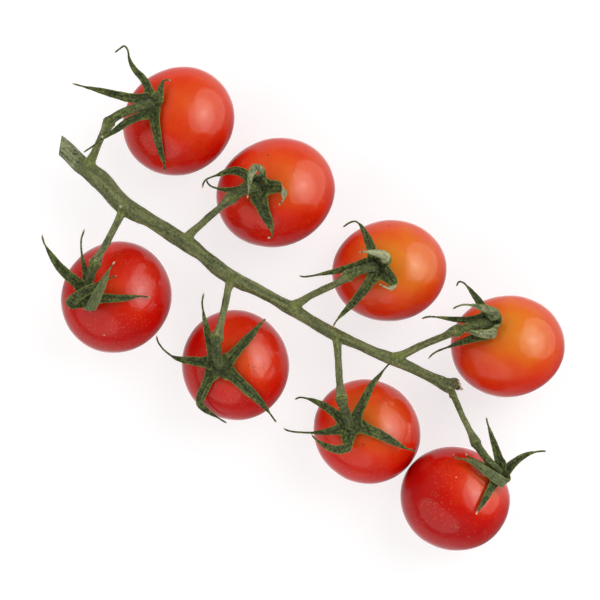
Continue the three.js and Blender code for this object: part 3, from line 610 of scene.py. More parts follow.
class FruitShape:
    """A spheroid of three half axes, turned about Z, with a hollow round its stem end."""

    def __init__(self, fruit):
        length, width, height = fruit["size"]
        self.halves = Vector((length, width, height)) * MM / 2
        self.turn = STEM_SLOPE - math.radians(fruit["turn"])
        middle_height = self.halves.z / MM - FLAT_SPOT_DEPTH
        self.middle = place(*fruit["middle"], middle_height)
        self.turned = Matrix.Rotation(self.turn, 3, "Z")
        axis = self.round_of(place(*fruit["stem_end"], middle_height))
        axis.z = math.sqrt(max(0.0, 1 - axis.x**2 - axis.y**2))
        self.axis = axis.normalized()

    def round_of(self, point):
        """The point in the fruit's own round space, where its skin is nearly a unit sphere."""
        turned = self.turned.transposed() @ (point - self.middle)
        return Vector((turned[i] / self.halves[i] for i in range(3)))

    def from_round(self, point):
        stretched = Vector((point[i] * self.halves[i] for i in range(3)))
        return self.turned @ stretched + self.middle

    def skin_share(self, angle):
        """How far the skin stands from the middle, at an angle from the stem end."""
        hollow = HOLLOW_DEPTH * bell(angle, HOLLOW_SPREAD)
        return 1 - hollow + POINT_HEIGHT * bell(math.pi - angle, POINT_SPREAD)

    def over_skin(self, direction, clearance):
        """The point in a round direction, at a clearance over the skin in millimetres."""
        share = self.skin_share(direction.angle(self.axis)) + clearance * MM / self.halves.z
        return self.from_round(direction.normalized() * share)

    def on_skin(self, x, y, clearance):
        """The point over the skin that is seen at a pixel."""
        seen = self.round_of(place(x, y, self.middle.z / MM))
        seen.z = math.sqrt(1 - min(FURTHEST_SEEN, math.hypot(seen.x, seen.y)) ** 2)
        return self.over_skin(seen, clearance)

    def clear(self, point, clearance):
        """The point itself, or the nearest one that clears the skin."""
        inside = self.round_of(point)
        share = self.skin_share(inside.angle(self.axis)) + clearance * MM / self.halves.z
        return self.over_skin(inside, clearance) if inside.length < share else point

    def outward(self, point):
        """The direction straight out of the skin, near a point."""
        steep = self.round_of(point)
        return (self.turned @ Vector((steep[i] / self.halves[i] for i in range(3)))).normalized()


def only(*pieces):
    """Leaves just these pieces selected, with the first of them active."""
    bpy.ops.object.select_all(action="DESELECT")
    for piece in pieces:
        piece.select_set(True)
    bpy.context.view_layer.objects.active = pieces[0]


def copied(blank):
    """A second piece with its own mesh."""
    piece = blank.copy()
    piece.data = blank.data.copy()
    bpy.context.collection.objects.link(piece)
    return piece


def added(primitive, **settings):
    """Adds a primitive with nothing else selected."""
    bpy.ops.object.select_all(action="DESELECT")
    primitive(**settings)
    return bpy.context.active_object


def settled(*ways):
    """Works the active piece's location, rotation or scale into its mesh."""
    known = ("location", "rotation", "scale")
    bpy.ops.object.transform_apply(**{way: way in ways for way in known})


def cut_off(piece, point, away, **settings):
    """Cuts the piece through in edit mode, and leaves it there with the cut's new face selected."""
    only(piece)
    bpy.ops.object.mode_set(mode="EDIT")
    bpy.ops.mesh.select_all(action="SELECT")
    bpy.ops.mesh.bisect(plane_co=point, plane_no=away, use_fill=True, threshold=CUT_TOLERANCE, **settings)


def applied(piece, kind, **settings):
    """Puts a modifier on the piece and applies it."""
    only(piece)
    modifier = piece.modifiers.new(kind.title(), kind)
    for name, value in settings.items():
        setattr(modifier, name, value)
    bpy.ops.object.modifier_apply(modifier=modifier.name)


def uneven(piece, grain, height):
    """Raises and lowers the piece's surface a little, in soft patches of the grain's size."""
    clouds = bpy.data.textures.new("Soft unevenness", "CLOUDS")
    clouds.noise_scale = grain
    applied(piece, "DISPLACE", texture=clouds, texture_coords="LOCAL", strength=height, mid_level=0.5)


def rod(sides, rings):
    """A closed round rod from z = 0 to z = 1, cut across into rings."""
    middle = (0, 0, 0.5)
    cylinder = bpy.ops.mesh.primitive_cylinder_add
    piece = added(cylinder, vertices=sides, radius=1, depth=1, end_fill_type="TRIFAN", location=middle)
    settled("location")
    bpy.ops.object.mode_set(mode="EDIT")
    bpy.ops.mesh.select_mode(type="EDGE")
    bpy.ops.mesh.select_all(action="DESELECT")
    mesh = bmesh.from_edit_mesh(piece.data)
    # Only the edges that run along the rod are cut.
    for edge in mesh.edges:
        low, high = sorted(vert.co.z for vert in edge.verts)
        edge.select_set(high - low > 0.5)
    bmesh.update_edit_mesh(piece.data)
    bpy.ops.mesh.subdivide(number_cuts=rings - 1)
    bpy.ops.object.mode_set(mode="OBJECT")
    return piece


def swept(blank, places, section):
    """A copy of the rod with its rings laid at the places.

    section gives, for a place and an angle round it, how far the surface stands across and out, and
    the marks that its finish reads. The marks come back with the piece, one row for each vertex.
    """
    piece = copied(blank)
    steps = len(places) - 1
    marks = []
    for vert in piece.data.vertices:
        here = places[round(vert.co.z * steps)]
        reach = math.hypot(vert.co.x, vert.co.y)
        across, out, mark = section(here, math.atan2(vert.co.y, vert.co.x))
        vert.co = here.point + (here.side * across + here.face * out) * min(1.0, reach)
        marks.append(mark)
    return piece, marks


def stalk_places(route, steps, start=0.0, end=1.0):
    """Places along a route with a steady face: each step's is carried on from the last."""
    places = []
    face = Vector(STALK_FACE)
    for i in range(steps + 1):
        share = start + (end - start) * i / steps
        along = route.along(share)
        face = (face - along * face.dot(along)).normalized()
        places.append(Place(share, route.point(share), along, face.cross(along), face.copy()))
    return places


def blade_places(shape, route, skin_share, roll, steps):
    """Places along a sepal. Its width follows the skin at first, and is level after that. Where it
    turns steeply over, its width is carried on through the fold. A roll turns its back upwards
    between two shares of its length, by some degrees."""
    sides = []
    for i in range(steps + 1):
        share = i / steps
        along = route.along(share)
        out = shape.outward(route.point(share)) if share < skin_share else UP
        across = out.cross(along)
        if sides and across.length < STEEP_FOLD:
            across = sides[-1] - along * sides[-1].dot(along)
        if sides and across.dot(sides[-1]) < 0:
            across.negate()
        sides.append(across.normalized())
    for _ in range(SIDE_EASINGS):
        pairs = zip([sides[0], *sides[:-1]], sides, [*sides[1:], sides[-1]])
        sides = [(before + here * 2 + after).normalized() for before, here, after in pairs]
    places = []
    for i, side in enumerate(sides):
        share = i / steps
        along = route.along(share)
        side = (side - along * side.dot(along)).normalized()
        if roll:
            rolled = math.radians(roll[2]) * eased(share, roll[0], roll[1])
            side = Matrix.Rotation(rolled, 3, along) @ side
        point = shape.clear(route.point(share), ROOT_CLEARANCE)
        places.append(Place(share, point, along, side, along.cross(side)))
    return places


def marks_tree(pieces, marks):
    """A lookup of the pieces' points, with all of their marks in the same order."""
    rows = [row for piece_marks in marks for row in piece_marks]
    tree = kdtree.KDTree(len(rows))
    index = 0
    for piece in pieces:
        for vert in piece.data.vertices:
            tree.insert(vert.co, index)
            index += 1
    tree.balance()
    return tree, np.array(rows)


def grown_together(pieces, marks, voxel, easings):
    """Joins closed pieces into one skin without seams, which takes over their marks."""
    tree, rows = marks_tree(pieces, marks)
    only(*pieces)
    bpy.ops.object.join()
    piece = bpy.context.active_object
    applied(piece, "REMESH", mode="VOXEL", voxel_size=voxel)
    applied(piece, "SMOOTH", factor=0.5, iterations=easings)
    count = len(piece.data.vertices)
    near = np.zeros((count, MARKS_BLENDED), dtype=int)
    pull = np.zeros((count, MARKS_BLENDED))
    for i, vert in enumerate(piece.data.vertices):
        for j, (_, index, distance) in enumerate(tree.find_n(vert.co, MARKS_BLENDED)):
            near[i, j] = index
            pull[i, j] = 1 / (distance + MARKS_SOFTNESS)
    pull /= pull.sum(axis=1, keepdims=True)
    return piece, (rows[near] * pull[:, :, None]).sum(axis=1)


def kept_in_box(piece):
    """Moves what stands a hair's breadth out of the solids' own box back into it."""
    flat = np.empty(len(piece.data.vertices) * 3)
    piece.data.vertices.foreach_get("co", flat)
    low, high = np.array(cad_low) + BOX_MARGIN, np.array(cad_high) - BOX_MARGIN
    piece.data.vertices.foreach_set("co", np.clip(flat.reshape(-1, 3), low, high).ravel())
    piece.data.update()


def store(piece, name, kind, values):
    """Keeps one value for each point of the piece, under a name that its finish reads."""
    attribute = piece.data.attributes.new(name, kind, "POINT")
    field = "vector" if kind == "FLOAT_VECTOR" else "value"
    attribute.data.foreach_set(field, np.ascontiguousarray(values, dtype=np.float32).ravel())


def store_marks(piece, marks):
    """Keeps a green piece's marks: where each point lies in its grain, its tones and its dryness."""
    store(piece, "grain", "FLOAT_VECTOR", marks[:, 0:3])
    store(piece, "tone", "FLOAT_VECTOR", marks[:, 3:6])
    store(piece, "dry", "FLOAT", marks[:, 6])


def pushed_clear(piece, shape):
    """Moves what sank into the fruit back out to just over its skin."""
    for vert in piece.data.vertices:
        vert.co = shape.clear(vert.co, LEAST_CLEARANCE)


def haired(piece, count, length, seed):
    """Grows short fine hairs on the piece, each a thin closed spike that leans a little."""
    draw = random.Random(seed)
    polygons = piece.data.polygons
    points = []
    faces = []
    for _ in range(count):
        polygon = polygons[draw.randrange(len(polygons))]
        lean = Vector((draw.gauss(0, 1), draw.gauss(0, 1), draw.gauss(0, 1))) * HAIR_LEAN
        out = (polygon.normal + lean).normalized()
        side = out.orthogonal().normalized()
        foot = polygon.center - out * HAIR_ROOT * MM
        reach = length * draw.uniform(*HAIR_SPREAD)
        start = len(points)
        for corner in range(3):
            turn = Matrix.Rotation(corner * math.tau / 3, 3, out)
            points.append(foot + turn @ side * HAIR_RADIUS * MM)
        points.append(foot + out * (reach + HAIR_ROOT * MM))
        a, b, c, tip = range(start, start + 4)
        faces += [(a, b, tip), (b, c, tip), (c, a, tip), (c, b, a)]
    mesh = bpy.data.meshes.new("Fine hairs")
    mesh.from_pydata(points, [], faces)
    mesh.materials.append(hair_material())
    hairs = bpy.data.objects.new("fine_hairs", mesh)
    bpy.context.collection.objects.link(hairs)
    only(piece, hairs)
    bpy.ops.object.join()
    kept_in_box(piece)


def sepal_section(blade, length, seed, draw):
    """A sepal's outline: a cupped blade with a groove down its face and a keel down its back."""
    broad_share = 1 - blade["tail"]
    full = blade.get("full", SEPAL_FULL)
    dry_share = blade.get("dry", draw.uniform(*DRY_TIP)) / length
    curl = draw.uniform(*SEPAL_CURL)

    def section(here, angle):
        across, out = math.cos(angle), math.sin(angle)
        left = max(0.0, 1 - (here.share / broad_share) ** full) ** SEPAL_TAPER
        thinned = 1 - SEPAL_THINNING * here.share
        width = max(blade["width"] * left, TAIL_WIDTH * thinned)
        broad = eased(width, *BROAD_FROM)
        at = here.share * length
        wander = noise.noise(Vector((at * EDGE_WANDER_GRAIN, seed, math.copysign(4, across))))
        width *= 1 + EDGE_WANDER * wander
        width += ROOT_WIDENING * bell(at - ROOT_WIDEST, ROOT_WIDENING_SPREAD)
        height = SEPAL_HALF_THICKNESS * thinned * math.copysign(abs(out) ** SEPAL_SQUARENESS, out)
        beside = abs(across) - SIDE_GROOVE_PLACE
        groove = bell(across, GROOVE_SPREAD) + SIDE_GROOVES * bell(beside, GROOVE_SPREAD)
        if out > 0:
            height -= GROOVE_DEPTH * groove * broad
        else:
            height -= KEEL_HEIGHT * bell(across, KEEL_SPREAD) * broad
        free = eased(at, *FREE_FROM)
        height += curl * width * across**2 * free
        wave = noise.noise(Vector((at * EDGE_WAVE_GRAIN, seed + 9, math.copysign(2, across))))
        height += EDGE_WAVE * wave * across**2 * broad
        ending = math.sqrt(eased((1 - here.share) * length, 0, TIP_ROUNDING))
        base = math.exp(-at / FRESH_REACH)
        fresh = abs(across) ** 8 * (FRESH_EDGE + FRESH_EDGE_AT_ROOT * base) * free
        pale = eased(-out, *PALE_BACK_FROM) * blade.get("bleach", 1.0)
        dry = eased(here.share, 1 - dry_share, 1)
        # The groove mark on the sepal's face paints shade into its groove.
        mark = (at, across * width / 2, seed, groove * broad if out > 0 else 0, fresh, pale, dry)
        return across * width / 2 * ending * MM, height * ending * MM, mark

    return section


def nowhere(share):
    """A tone that shows at no share of a stalk's length."""
    return 0.0


def stalk_section(radius_at, length, seed, fresh_at=nowhere, pale_at=nowhere, dry_at=nowhere):
    """A stalk's outline: nearly round, with low ridges and swellings along it."""

    def section(here, angle):
        share = here.share
        at = share * length
        radius = radius_at(share)
        across, out = math.cos(angle), math.sin(angle)
        ring = Vector((across * LUMPS_ROUND, out * LUMPS_ROUND, at * LUMPS_ALONG + seed * 5))
        ridges = RIDGE_HEIGHT * math.cos(RIDGES * angle + at * RIDGE_TWIST + seed)
        uneven_radius = radius * (1 + LUMP_HEIGHT * noise.noise(ring) + ridges)
        # Painted shade in the hollows between the ridges.
        groove = max(0.0, -ridges) / RIDGE_HEIGHT * RIDGE_SHADE
        pale = STALK_PALENESS + pale_at(share)
        mark = (at, angle * radius, seed, groove, fresh_at(share), pale, dry_at(share))
        return across * uneven_radius * MM, out * uneven_radius * MM, mark

    return section


def stalk_route(fruit):
    """A fruit's stalk from its calyx to the stem, and the share of it at which its knuckle is."""
    points = [place(*point) for point in fruit["stalk"]]
    route = Route(points)
    joint = Route(points[: fruit["knuckle"] + 1]).length / route.length
    return route, round(joint * SOLID_STALK_STEPS) / SOLID_STALK_STEPS


def knuckle_radius(route, joint, share, upper):
    """The stalk's radius in millimetres, swollen at its knuckle and flared where it joins on."""
    length = route.length / MM
    from_joint = abs(share - joint) * length
    if upper:
        plain, spread, end = UPPER_STALK_RADIUS, UPPER_KNUCKLE_SPREAD, share * length
        flare = FOOT_FLARE * math.exp(-end / FOOT_FLARE_SPREAD)
    else:
        plain, spread, end = LOWER_STALK_RADIUS, LOWER_KNUCKLE_SPREAD, (1 - share) * length
        flare = STEM_FLARE * math.exp(-end / STEM_FLARE_SPREAD)
    swelling = (KNUCKLE_RADIUS - plain) * bell(from_joint, spread)
    return plain + swelling + flare + KNUCKLE_LIP * bell(from_joint, KNUCKLE_LIP_SPREAD)


def side_stalk(blank, number, fruit, upper):
    """A fruit's own stalk: the part above its knuckle, or the part from there down to the stem."""
    route, joint = stalk_route(fruit)
    length = route.length / MM
    seam = SEAM / length
    span = (0.0, joint - seam) if upper else (joint + seam, 1.0)

    def radius_at(share):
        return fruit.get("slim", 1.0) * knuckle_radius(route, joint, share, upper)

    def fresh_at(share):
        at_ring = RING_FRESHNESS * bell((share - joint) * length, RING_SPREAD)
        at_fork = FORK_FRESHNESS * bell((1 - share) * length, FORK_SPREAD)
        return at_ring if upper else at_ring + at_fork

    section = stalk_section(radius_at, length, number, fresh_at)
    return swept(blank, stalk_places(route, STALK_RINGS, *span), section)


def dressed(piece, name, node, material):
    """Names the finished piece, hides the imported solid that it stands in for, and gives it its finish."""
    piece.name = name
    kept_in_box(piece)
    if material.name not in piece.data.materials:
        piece.data.materials.append(material)
    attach(piece, "root")
    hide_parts(node)


def made_fruit(shape, blank):
    """A fruit from the round blank, whose top is its stem end."""
    piece = copied(blank)
    only(piece)
    piece.rotation_mode = "QUATERNION"
    piece.rotation_quaternion = UP.rotation_difference(shape.axis)
    settled("rotation")
    piece.scale = shape.halves
    settled("scale")
    piece.rotation_quaternion = shape.turned.to_quaternion()
    piece.location = shape.middle
    settled("location", "rotation")
    uneven(piece, FRUIT_UNEVEN_GRAIN * MM, FRUIT_UNEVEN_HEIGHT * MM)
    cut_off(piece, (0, 0, 0), UP, clear_inner=True)
    bpy.ops.object.mode_set(mode="OBJECT")
    bpy.ops.object.shade_smooth_by_angle(angle=SHARPEST_SMOOTH)
    return piece


def round_blank():
    """A unit fruit: a sphere pressed in at its stem end and drawn to a faint point below."""
    sphere = bpy.ops.mesh.primitive_uv_sphere_add
    piece = added(sphere, segments=FRUIT_SEGMENTS, ring_count=FRUIT_RINGS, radius=1, location=(0, 0, 0))
    for end, value, size in ((1, -HOLLOW_DEPTH, HOLLOW_REACH), (-1, -POINT_HEIGHT, POINT_REACH)):
        bpy.ops.object.mode_set(mode="EDIT")
        bpy.ops.mesh.select_mode(type="VERT")
        bpy.ops.mesh.select_all(action="DESELECT")
        mesh = bmesh.from_edit_mesh(piece.data)
        for vert in mesh.verts:
            vert.select_set(vert.co.z * end > POLE_HEIGHT)
        bmesh.update_edit_mesh(piece.data)
        bpy.ops.transform.translate(
            value=(0, 0, value),
            use_proportional_edit=True,
            proportional_edit_falloff="SMOOTH",
            proportional_size=size,
        )
        bpy.ops.object.mode_set(mode="OBJECT")
    return piece


def mark_skin(piece, shape, fruit):
    """Marks where the skin blushes orange, with painted light making it more orange on the side towards the
    lamps, where it is pitted, and the two ends of the fruit.
    """
    x, y, strength, spread_deg = fruit["blush"]
    centre = shape.round_of(shape.on_skin(x, y, 0)).normalized()
    painted_lit_side = shape.turned.transposed() @ picture_direction(*PAINTED_LIT_SIDE)
    pits = None
    if "pits" in fruit:
        pits, pitted_reach = fruit["pits"]
        pits = shape.on_skin(*pits, 0)
    rows = []
    for vert in piece.data.vertices:
        inside = shape.round_of(vert.co)
        from_stem = inside.angle(shape.axis)
        blush = fruit.get("base", USUAL_RIPENESS)
        blush += strength * bell(inside.angle(centre), math.radians(spread_deg))
        # Painted light: the side turned towards the lamps is pushed towards orange, which reads lighter.
        blush += PAINTED_LIT_SIDE_BLUSH * eased(inside.normalized().dot(painted_lit_side), *PAINTED_LIT_SIDE_RISE)
        blush += SHOULDER_BLUSH * bell(from_stem, SHOULDER_SPREAD)
        scar = bell(math.pi - from_stem, SCAR_SPREAD)
        pitted = bell((vert.co - pits).length, pitted_reach * MM) if pits else 0.0
        rows.append((blush, scar, pitted))
    store(piece, "ripeness_and_lit_side", "FLOAT_VECTOR", np.array(rows))


def plugged(tree, node, inputs):
    """Gives each of these inputs of a node a value or a link."""
    for name, value in inputs.items():
        if isinstance(value, bpy.types.NodeSocket):
            tree.links.new(value, node.inputs[name])
        else:
            node.inputs[name].default_value = value


def wired(tree, kind, inputs=None, **settings):
    """Adds a node, sets it up, and gives each of these inputs a value or a link."""
    made = tree.nodes.new(kind)
    for name, value in settings.items():
        setattr(made, name, value)
    plugged(tree, made, inputs or {})
    return made


def maths(tree, operation, *values, clamped=True):
    """What the values give together, kept between nought and one unless it isn't clamped."""
    inputs = dict(enumerate(values))
    made = wired(tree, "ShaderNodeMath", inputs, operation=operation, use_clamp=clamped)
    return made.outputs[0]


def times(tree, first, second, clamped=True):
    """One value times another."""
    return maths(tree, "MULTIPLY", first, second, clamped=clamped)


def vector_maths(tree, operation, first, second=(0, 0, 0)):
    """What two vectors give: a value for their distance or dot product, or else a vector."""
    made = wired(tree, "ShaderNodeVectorMath", {0: first, 1: second}, operation=operation)
    return made.outputs["Value" if operation in ("DISTANCE", "DOT_PRODUCT") else "Vector"]


def stored(tree, name, output="Vector"):
    """The values that a piece keeps for its points under this name."""
    return wired(tree, "ShaderNodeAttribute", attribute_name=name).outputs[output]


def parts(tree, vector):
    """A vector's three parts, as values of their own."""
    return wired(tree, "ShaderNodeSeparateXYZ", {0: vector}).outputs


def coloured(values):
    """Three values as a colour that hides what is under it."""
    return (*values, 1.0)


def mixed(tree, share, first, second):
    """Mixes the second colour over the first one. Each is a link or three plain values."""
    sockets = {0: share}
    for slot, colour in ((6, first), (7, second)):
        sockets[slot] = colour if isinstance(colour, bpy.types.NodeSocket) else coloured(colour)
    return wired(tree, "ShaderNodeMix", sockets, data_type="RGBA").outputs[2]


def ramped(tree, value, stops):
    """Colours a value by stops, each at its place from nought to one."""
    made = wired(tree, "ShaderNodeValToRGB", {0: value})
    elements = made.color_ramp.elements
    while len(elements) < len(stops):
        elements.new(0.5)
    for element, (position, colour) in zip(elements, stops):
        element.position = position
        element.color = coloured(colour)
    return made.outputs[0]


def spread(tree, value, low, high):
    """Stretches a value so that low becomes nought and high becomes one."""
    made = wired(tree, "ShaderNodeMapRange", {0: value, 1: low, 2: high, 3: 0.0, 4: 1.0})
    return made.outputs[0]


def grain_noise(tree, vector, scale, detail, stretch=(1, 1, 1)):
    """Soft noise, stretched along some of its directions."""
    mapped = wired(tree, "ShaderNodeMapping", {"Vector": vector, "Scale": stretch})
    inputs = {"Vector": mapped.outputs[0], "Scale": scale, "Detail": detail, "Roughness": 0.6}
    return wired(tree, "ShaderNodeTexNoise", inputs).outputs[0]


def patches(tree, vector, kind, stretch=(1, 1, 1)):
    """Soft-edged patches of a kind, as a value of one inside them."""
    scale, detail, low, high = kind
    return spread(tree, grain_noise(tree, vector, scale, detail, stretch), low, high)


def dots(tree, vector, kind):
    """Small round dots of a kind, as a value of one at each middle."""
    scale, size = kind
    cells = wired(tree, "ShaderNodeTexVoronoi", {"Vector": vector, "Scale": scale, "Randomness": 1.0})
    return spread(tree, cells.outputs["Distance"], size, size * DOT_CORE)


def spot_at(tree, vector, middle, radius, core):
    """One spot at a place, of a radius in millimetres and a core that is a share of it."""
    away = vector_maths(tree, "DISTANCE", vector, middle)
    return spread(tree, away, radius * MM, radius * MM * core)


def new_finish(name):
    """A new material, with its node tree and its shader."""
    material = bpy.data.materials.new(name)
    material.use_nodes = True
    tree = material.node_tree
    return material, tree, tree.nodes["Principled BSDF"]


def bumped(tree, relief, strength, depth):
    """The surface's direction, tilted by a relief of a depth in metres."""
    inputs = {"Strength": strength, "Distance": depth, "Height": relief}
    return wired(tree, "ShaderNodeBump", inputs).outputs[0]


def ripe_skin_material(look):
    """Glossy red skin, orange where it is less ripe and, as painted light, on the side towards the lamps,
    with pale specks under it.
    """
    material, tree, skin = new_finish("Ripe tomato skin")
    place_on = wired(tree, "ShaderNodeTexCoord").outputs["Object"]
    # The blush carries the painted lighter, more orange side as well as the fruit's own blush.
    blush, scar, pitted = parts(tree, stored(tree, "ripeness_and_lit_side"))
    cloud = grain_noise(tree, place_on, RIPENESS_CLOUDS, 3.0)
    wander = look.unevenness
    wander = maths(tree, "MULTIPLY_ADD", cloud, wander, -wander / 2, clamped=False)
    ripeness_and_lit_side = maths(tree, "ADD", blush, wander)
    stops = (
        (0, look.dark_red),
        (0.25, look.deep_red),
        (0.45, look.bright_red),
        (0.7, look.orange_red),
        (1, look.orange),
    )
    colour = ramped(tree, ripeness_and_lit_side, stops)
    speck = times(tree, dots(tree, place_on, PALE_SPECKS), patches(tree, place_on, SPECK_PATCHES))
    ripest = times(tree, spread(tree, ripeness_and_lit_side, *RIPEST), patches(tree, place_on, RIPE_PATCHES))
    fine = times(tree, dots(tree, place_on, FINE_SPECKS), ripest)
    speck = maths(tree, "MAXIMUM", speck, fine)
    colour = mixed(tree, times(tree, speck, look.specks), colour, look.speck)
    dark = times(tree, dots(tree, place_on, DARK_SPECKS), ripest)
    colour = mixed(tree, times(tree, dark, 0.4), colour, look.blemish)
    few = dots(tree, place_on, FEW_SPOTS)
    colour = mixed(tree, times(tree, few, 0.6), colour, look.blemish)
    pit = times(tree, dots(tree, place_on, SMALL_PITS), spread(tree, pitted, 0.25, 0.5))
    colour = mixed(tree, pit, colour, look.blemish)
    for number, x, y, radius, paleness in FLECKS:
        middle = FruitShape(FRUITS[number - 1]).on_skin(x, y, 0)
        fleck = spot_at(tree, place_on, middle, radius, 0.4)
        colour = mixed(tree, fleck, colour, Vector(look.blemish).lerp(Vector(look.pale_fleck), paleness))
    colour = mixed(tree, scar, colour, look.scar)
    relief = grain_noise(tree, place_on, SKIN_CLOSE, 2.0)
    broad = grain_noise(tree, place_on, SKIN_BROAD, 2.0)
    relief = maths(tree, "MULTIPLY_ADD", relief, 0.12, broad, clamped=False)
    relief = maths(tree, "SUBTRACT", relief, times(tree, pit, PIT_DEPTH, clamped=False), clamped=False)
    plugged(tree, skin, {
        "Base Color": colour,
        "Normal": bumped(tree, relief, 0.18, 0.0004),
        "Roughness": maths(tree, "MULTIPLY_ADD", scar, 0.4, look.roughness),
        "Subsurface Weight": look.glow,
        "Subsurface Radius": (1.0, 0.25, 0.12),
        "Subsurface Scale": 0.0025,
        "Coat Weight": look.wax,
        "Coat Roughness": look.wax_roughness,
        "Coat IOR": 1.4,
        "IOR": 1.36,
        "Specular IOR Level": 0.3,
    })
    return material


def green_material(name, look, leaf, shade, grown):
    """Matt downy green, mottled and streaked lengthwise, pale beneath and brown at dry tips, with painted
    shade in its grooves and hollows and painted glints on its down.
    """
    material, tree, green = new_finish(name)
    place_on = wired(tree, "ShaderNodeTexCoord").outputs["Object"]
    groove, fresh, pale = parts(tree, stored(tree, "tone"))
    dry = stored(tree, "dry", "Fac")
    streaks = patches(tree, stored(tree, "grain"), LEAF_STREAKS, grown.stretch)
    mottle = patches(tree, place_on, LEAF_MOTTLE)
    broad = patches(tree, place_on, grown.patches)
    light = times(tree, streaks, grown.streaks)
    light = maths(tree, "ADD", light, times(tree, mottle, grown.mottle, clamped=False))
    light = maths(tree, "ADD", light, times(tree, broad, grown.breadth, clamped=False))
    colour = mixed(tree, light, shade, leaf)
    colour = mixed(tree, times(tree, broad, 0.25), colour, look.olive)
    # Painted shade: sepal grooves, the hollows between a stalk's ridges and the middle of the calyx disc are
    # darkened.
    colour = mixed(tree, times(tree, groove, 0.8), colour, look.groove)
    back = maths(tree, "ADD", times(tree, streaks, 0.5), times(tree, mottle, 0.5))
    underside = mixed(tree, back, look.underside, look.underside_shade)
    bleached = maths(tree, "MULTIPLY_ADD", back, -0.5, spread(tree, pale, 1.0, 1.6))
    underside = mixed(tree, bleached, underside, look.bleached)
    colour = mixed(tree, times(tree, pale, 0.85), colour, underside)
    colour = mixed(tree, fresh, colour, look.fresh)
    # Painted glints: light caught by fine hairs, laid on as pale dots.
    down = times(tree, dots(tree, place_on, DOWN_GLINT_DOTS), 0.4)
    colour = mixed(tree, down, colour, look.down)
    withered = mixed(tree, spread(tree, dry, *STRAW_FROM), look.dry, look.straw)
    colour = mixed(tree, spread(tree, dry, *BROWN_FROM), colour, withered)
    level = vector_maths(tree, "MULTIPLY", place_on, (1, 1, 0))
    for x, y, radius in SCABS:
        colour = mixed(tree, spot_at(tree, level, place(x, y), radius, 0.5), colour, look.straw)
    relief = maths(tree, "ADD", streaks, times(tree, mottle, 0.8), clamped=False)
    plugged(tree, green, {
        "Base Color": colour,
        "Normal": bumped(tree, relief, 0.8, 0.00025),
        "Roughness": maths(tree, "MULTIPLY_ADD", mottle, 0.2, 0.5),
        "Sheen Weight": 0.03,
        "Sheen Roughness": 0.4,
        "Specular IOR Level": 0.35,
    })
    return material


def hair_material():
    """Pale down, nearly clear."""
    known = bpy.data.materials.get("Fine pale down")
    if known:
        return known
    material, tree, hair = new_finish("Fine pale down")
    place_on = wired(tree, "ShaderNodeTexCoord").outputs["Object"]
    colour = mixed(tree, patches(tree, place_on, HAIR_PATCHES), *HAIR_COLOURS)
    plugged(tree, hair, {"Base Color": colour, "Roughness": 0.45})
    return material


def hue(name, description, default):
    """A colour that a user can change."""
    return FloatVectorProperty(name=name, description=description, subtype="COLOR", default=default)


def amount(name, description, default):
    """A strength from nought to one that a user can change."""
    return FloatProperty(name=name, description=description, default=default, min=0, max=1)


def fine_length(name, description, default, least, most):
    """A small length that a user can change, given here in millimetres."""
    return FloatProperty(
        name=name, description=description, subtype="DISTANCE", unit="LENGTH",
        default=default * MM, min=least * MM, max=most * MM, precision=5,
    )


class RipeSkinLook(bpy.types.PropertyGroup):
    """The skin of the ripe fruits."""

    dark_red: hue("Dark red", "The ripest skin", (0.4, 0.0, 0.0))
    # Deep red is where the painted lighter side leaves off, on the skin turned away from the lamps; orange
    # red and orange also carry that painted lighter side.
    deep_red: hue("Deep red", "Ripe skin out of the sun", (0.52, 0.004, 0.0))
    bright_red: hue("Bright red", "Most of the skin", (0.62, 0.022, 0.001))
    orange_red: hue("Orange red", "Skin beside the calyx", (0.66, 0.07, 0.006))
    orange: hue("Orange", "The least ripe skin", (0.7, 0.2, 0.012))
    speck: hue("Specks", "Fine pale specks", (0.6, 0.22, 0.07))
    blemish: hue("Blemishes", "Pits and dark flecks", (0.2, 0.02, 0.01))
    pale_fleck: hue("Pale flecks", "Dry scabs on the skin", (0.7, 0.42, 0.2))
    scar: hue("Scar", "The dry point at the far end", (0.32, 0.17, 0.08))
    specks: amount("Speck strength", "How clearly the specks show", 0.5)
    unevenness: amount("Unevenness", "How far the red wanders", 0.35)
    roughness: amount("Roughness", "How soft the deep gloss is", 0.3)
    wax: amount("Wax", "The waxy gloss over the skin", 0.9)
    wax_roughness: amount("Wax roughness", "How soft the gloss of the wax is", 0.1)
    glow: amount("Glow", "How much light spreads in the flesh", 0.3)


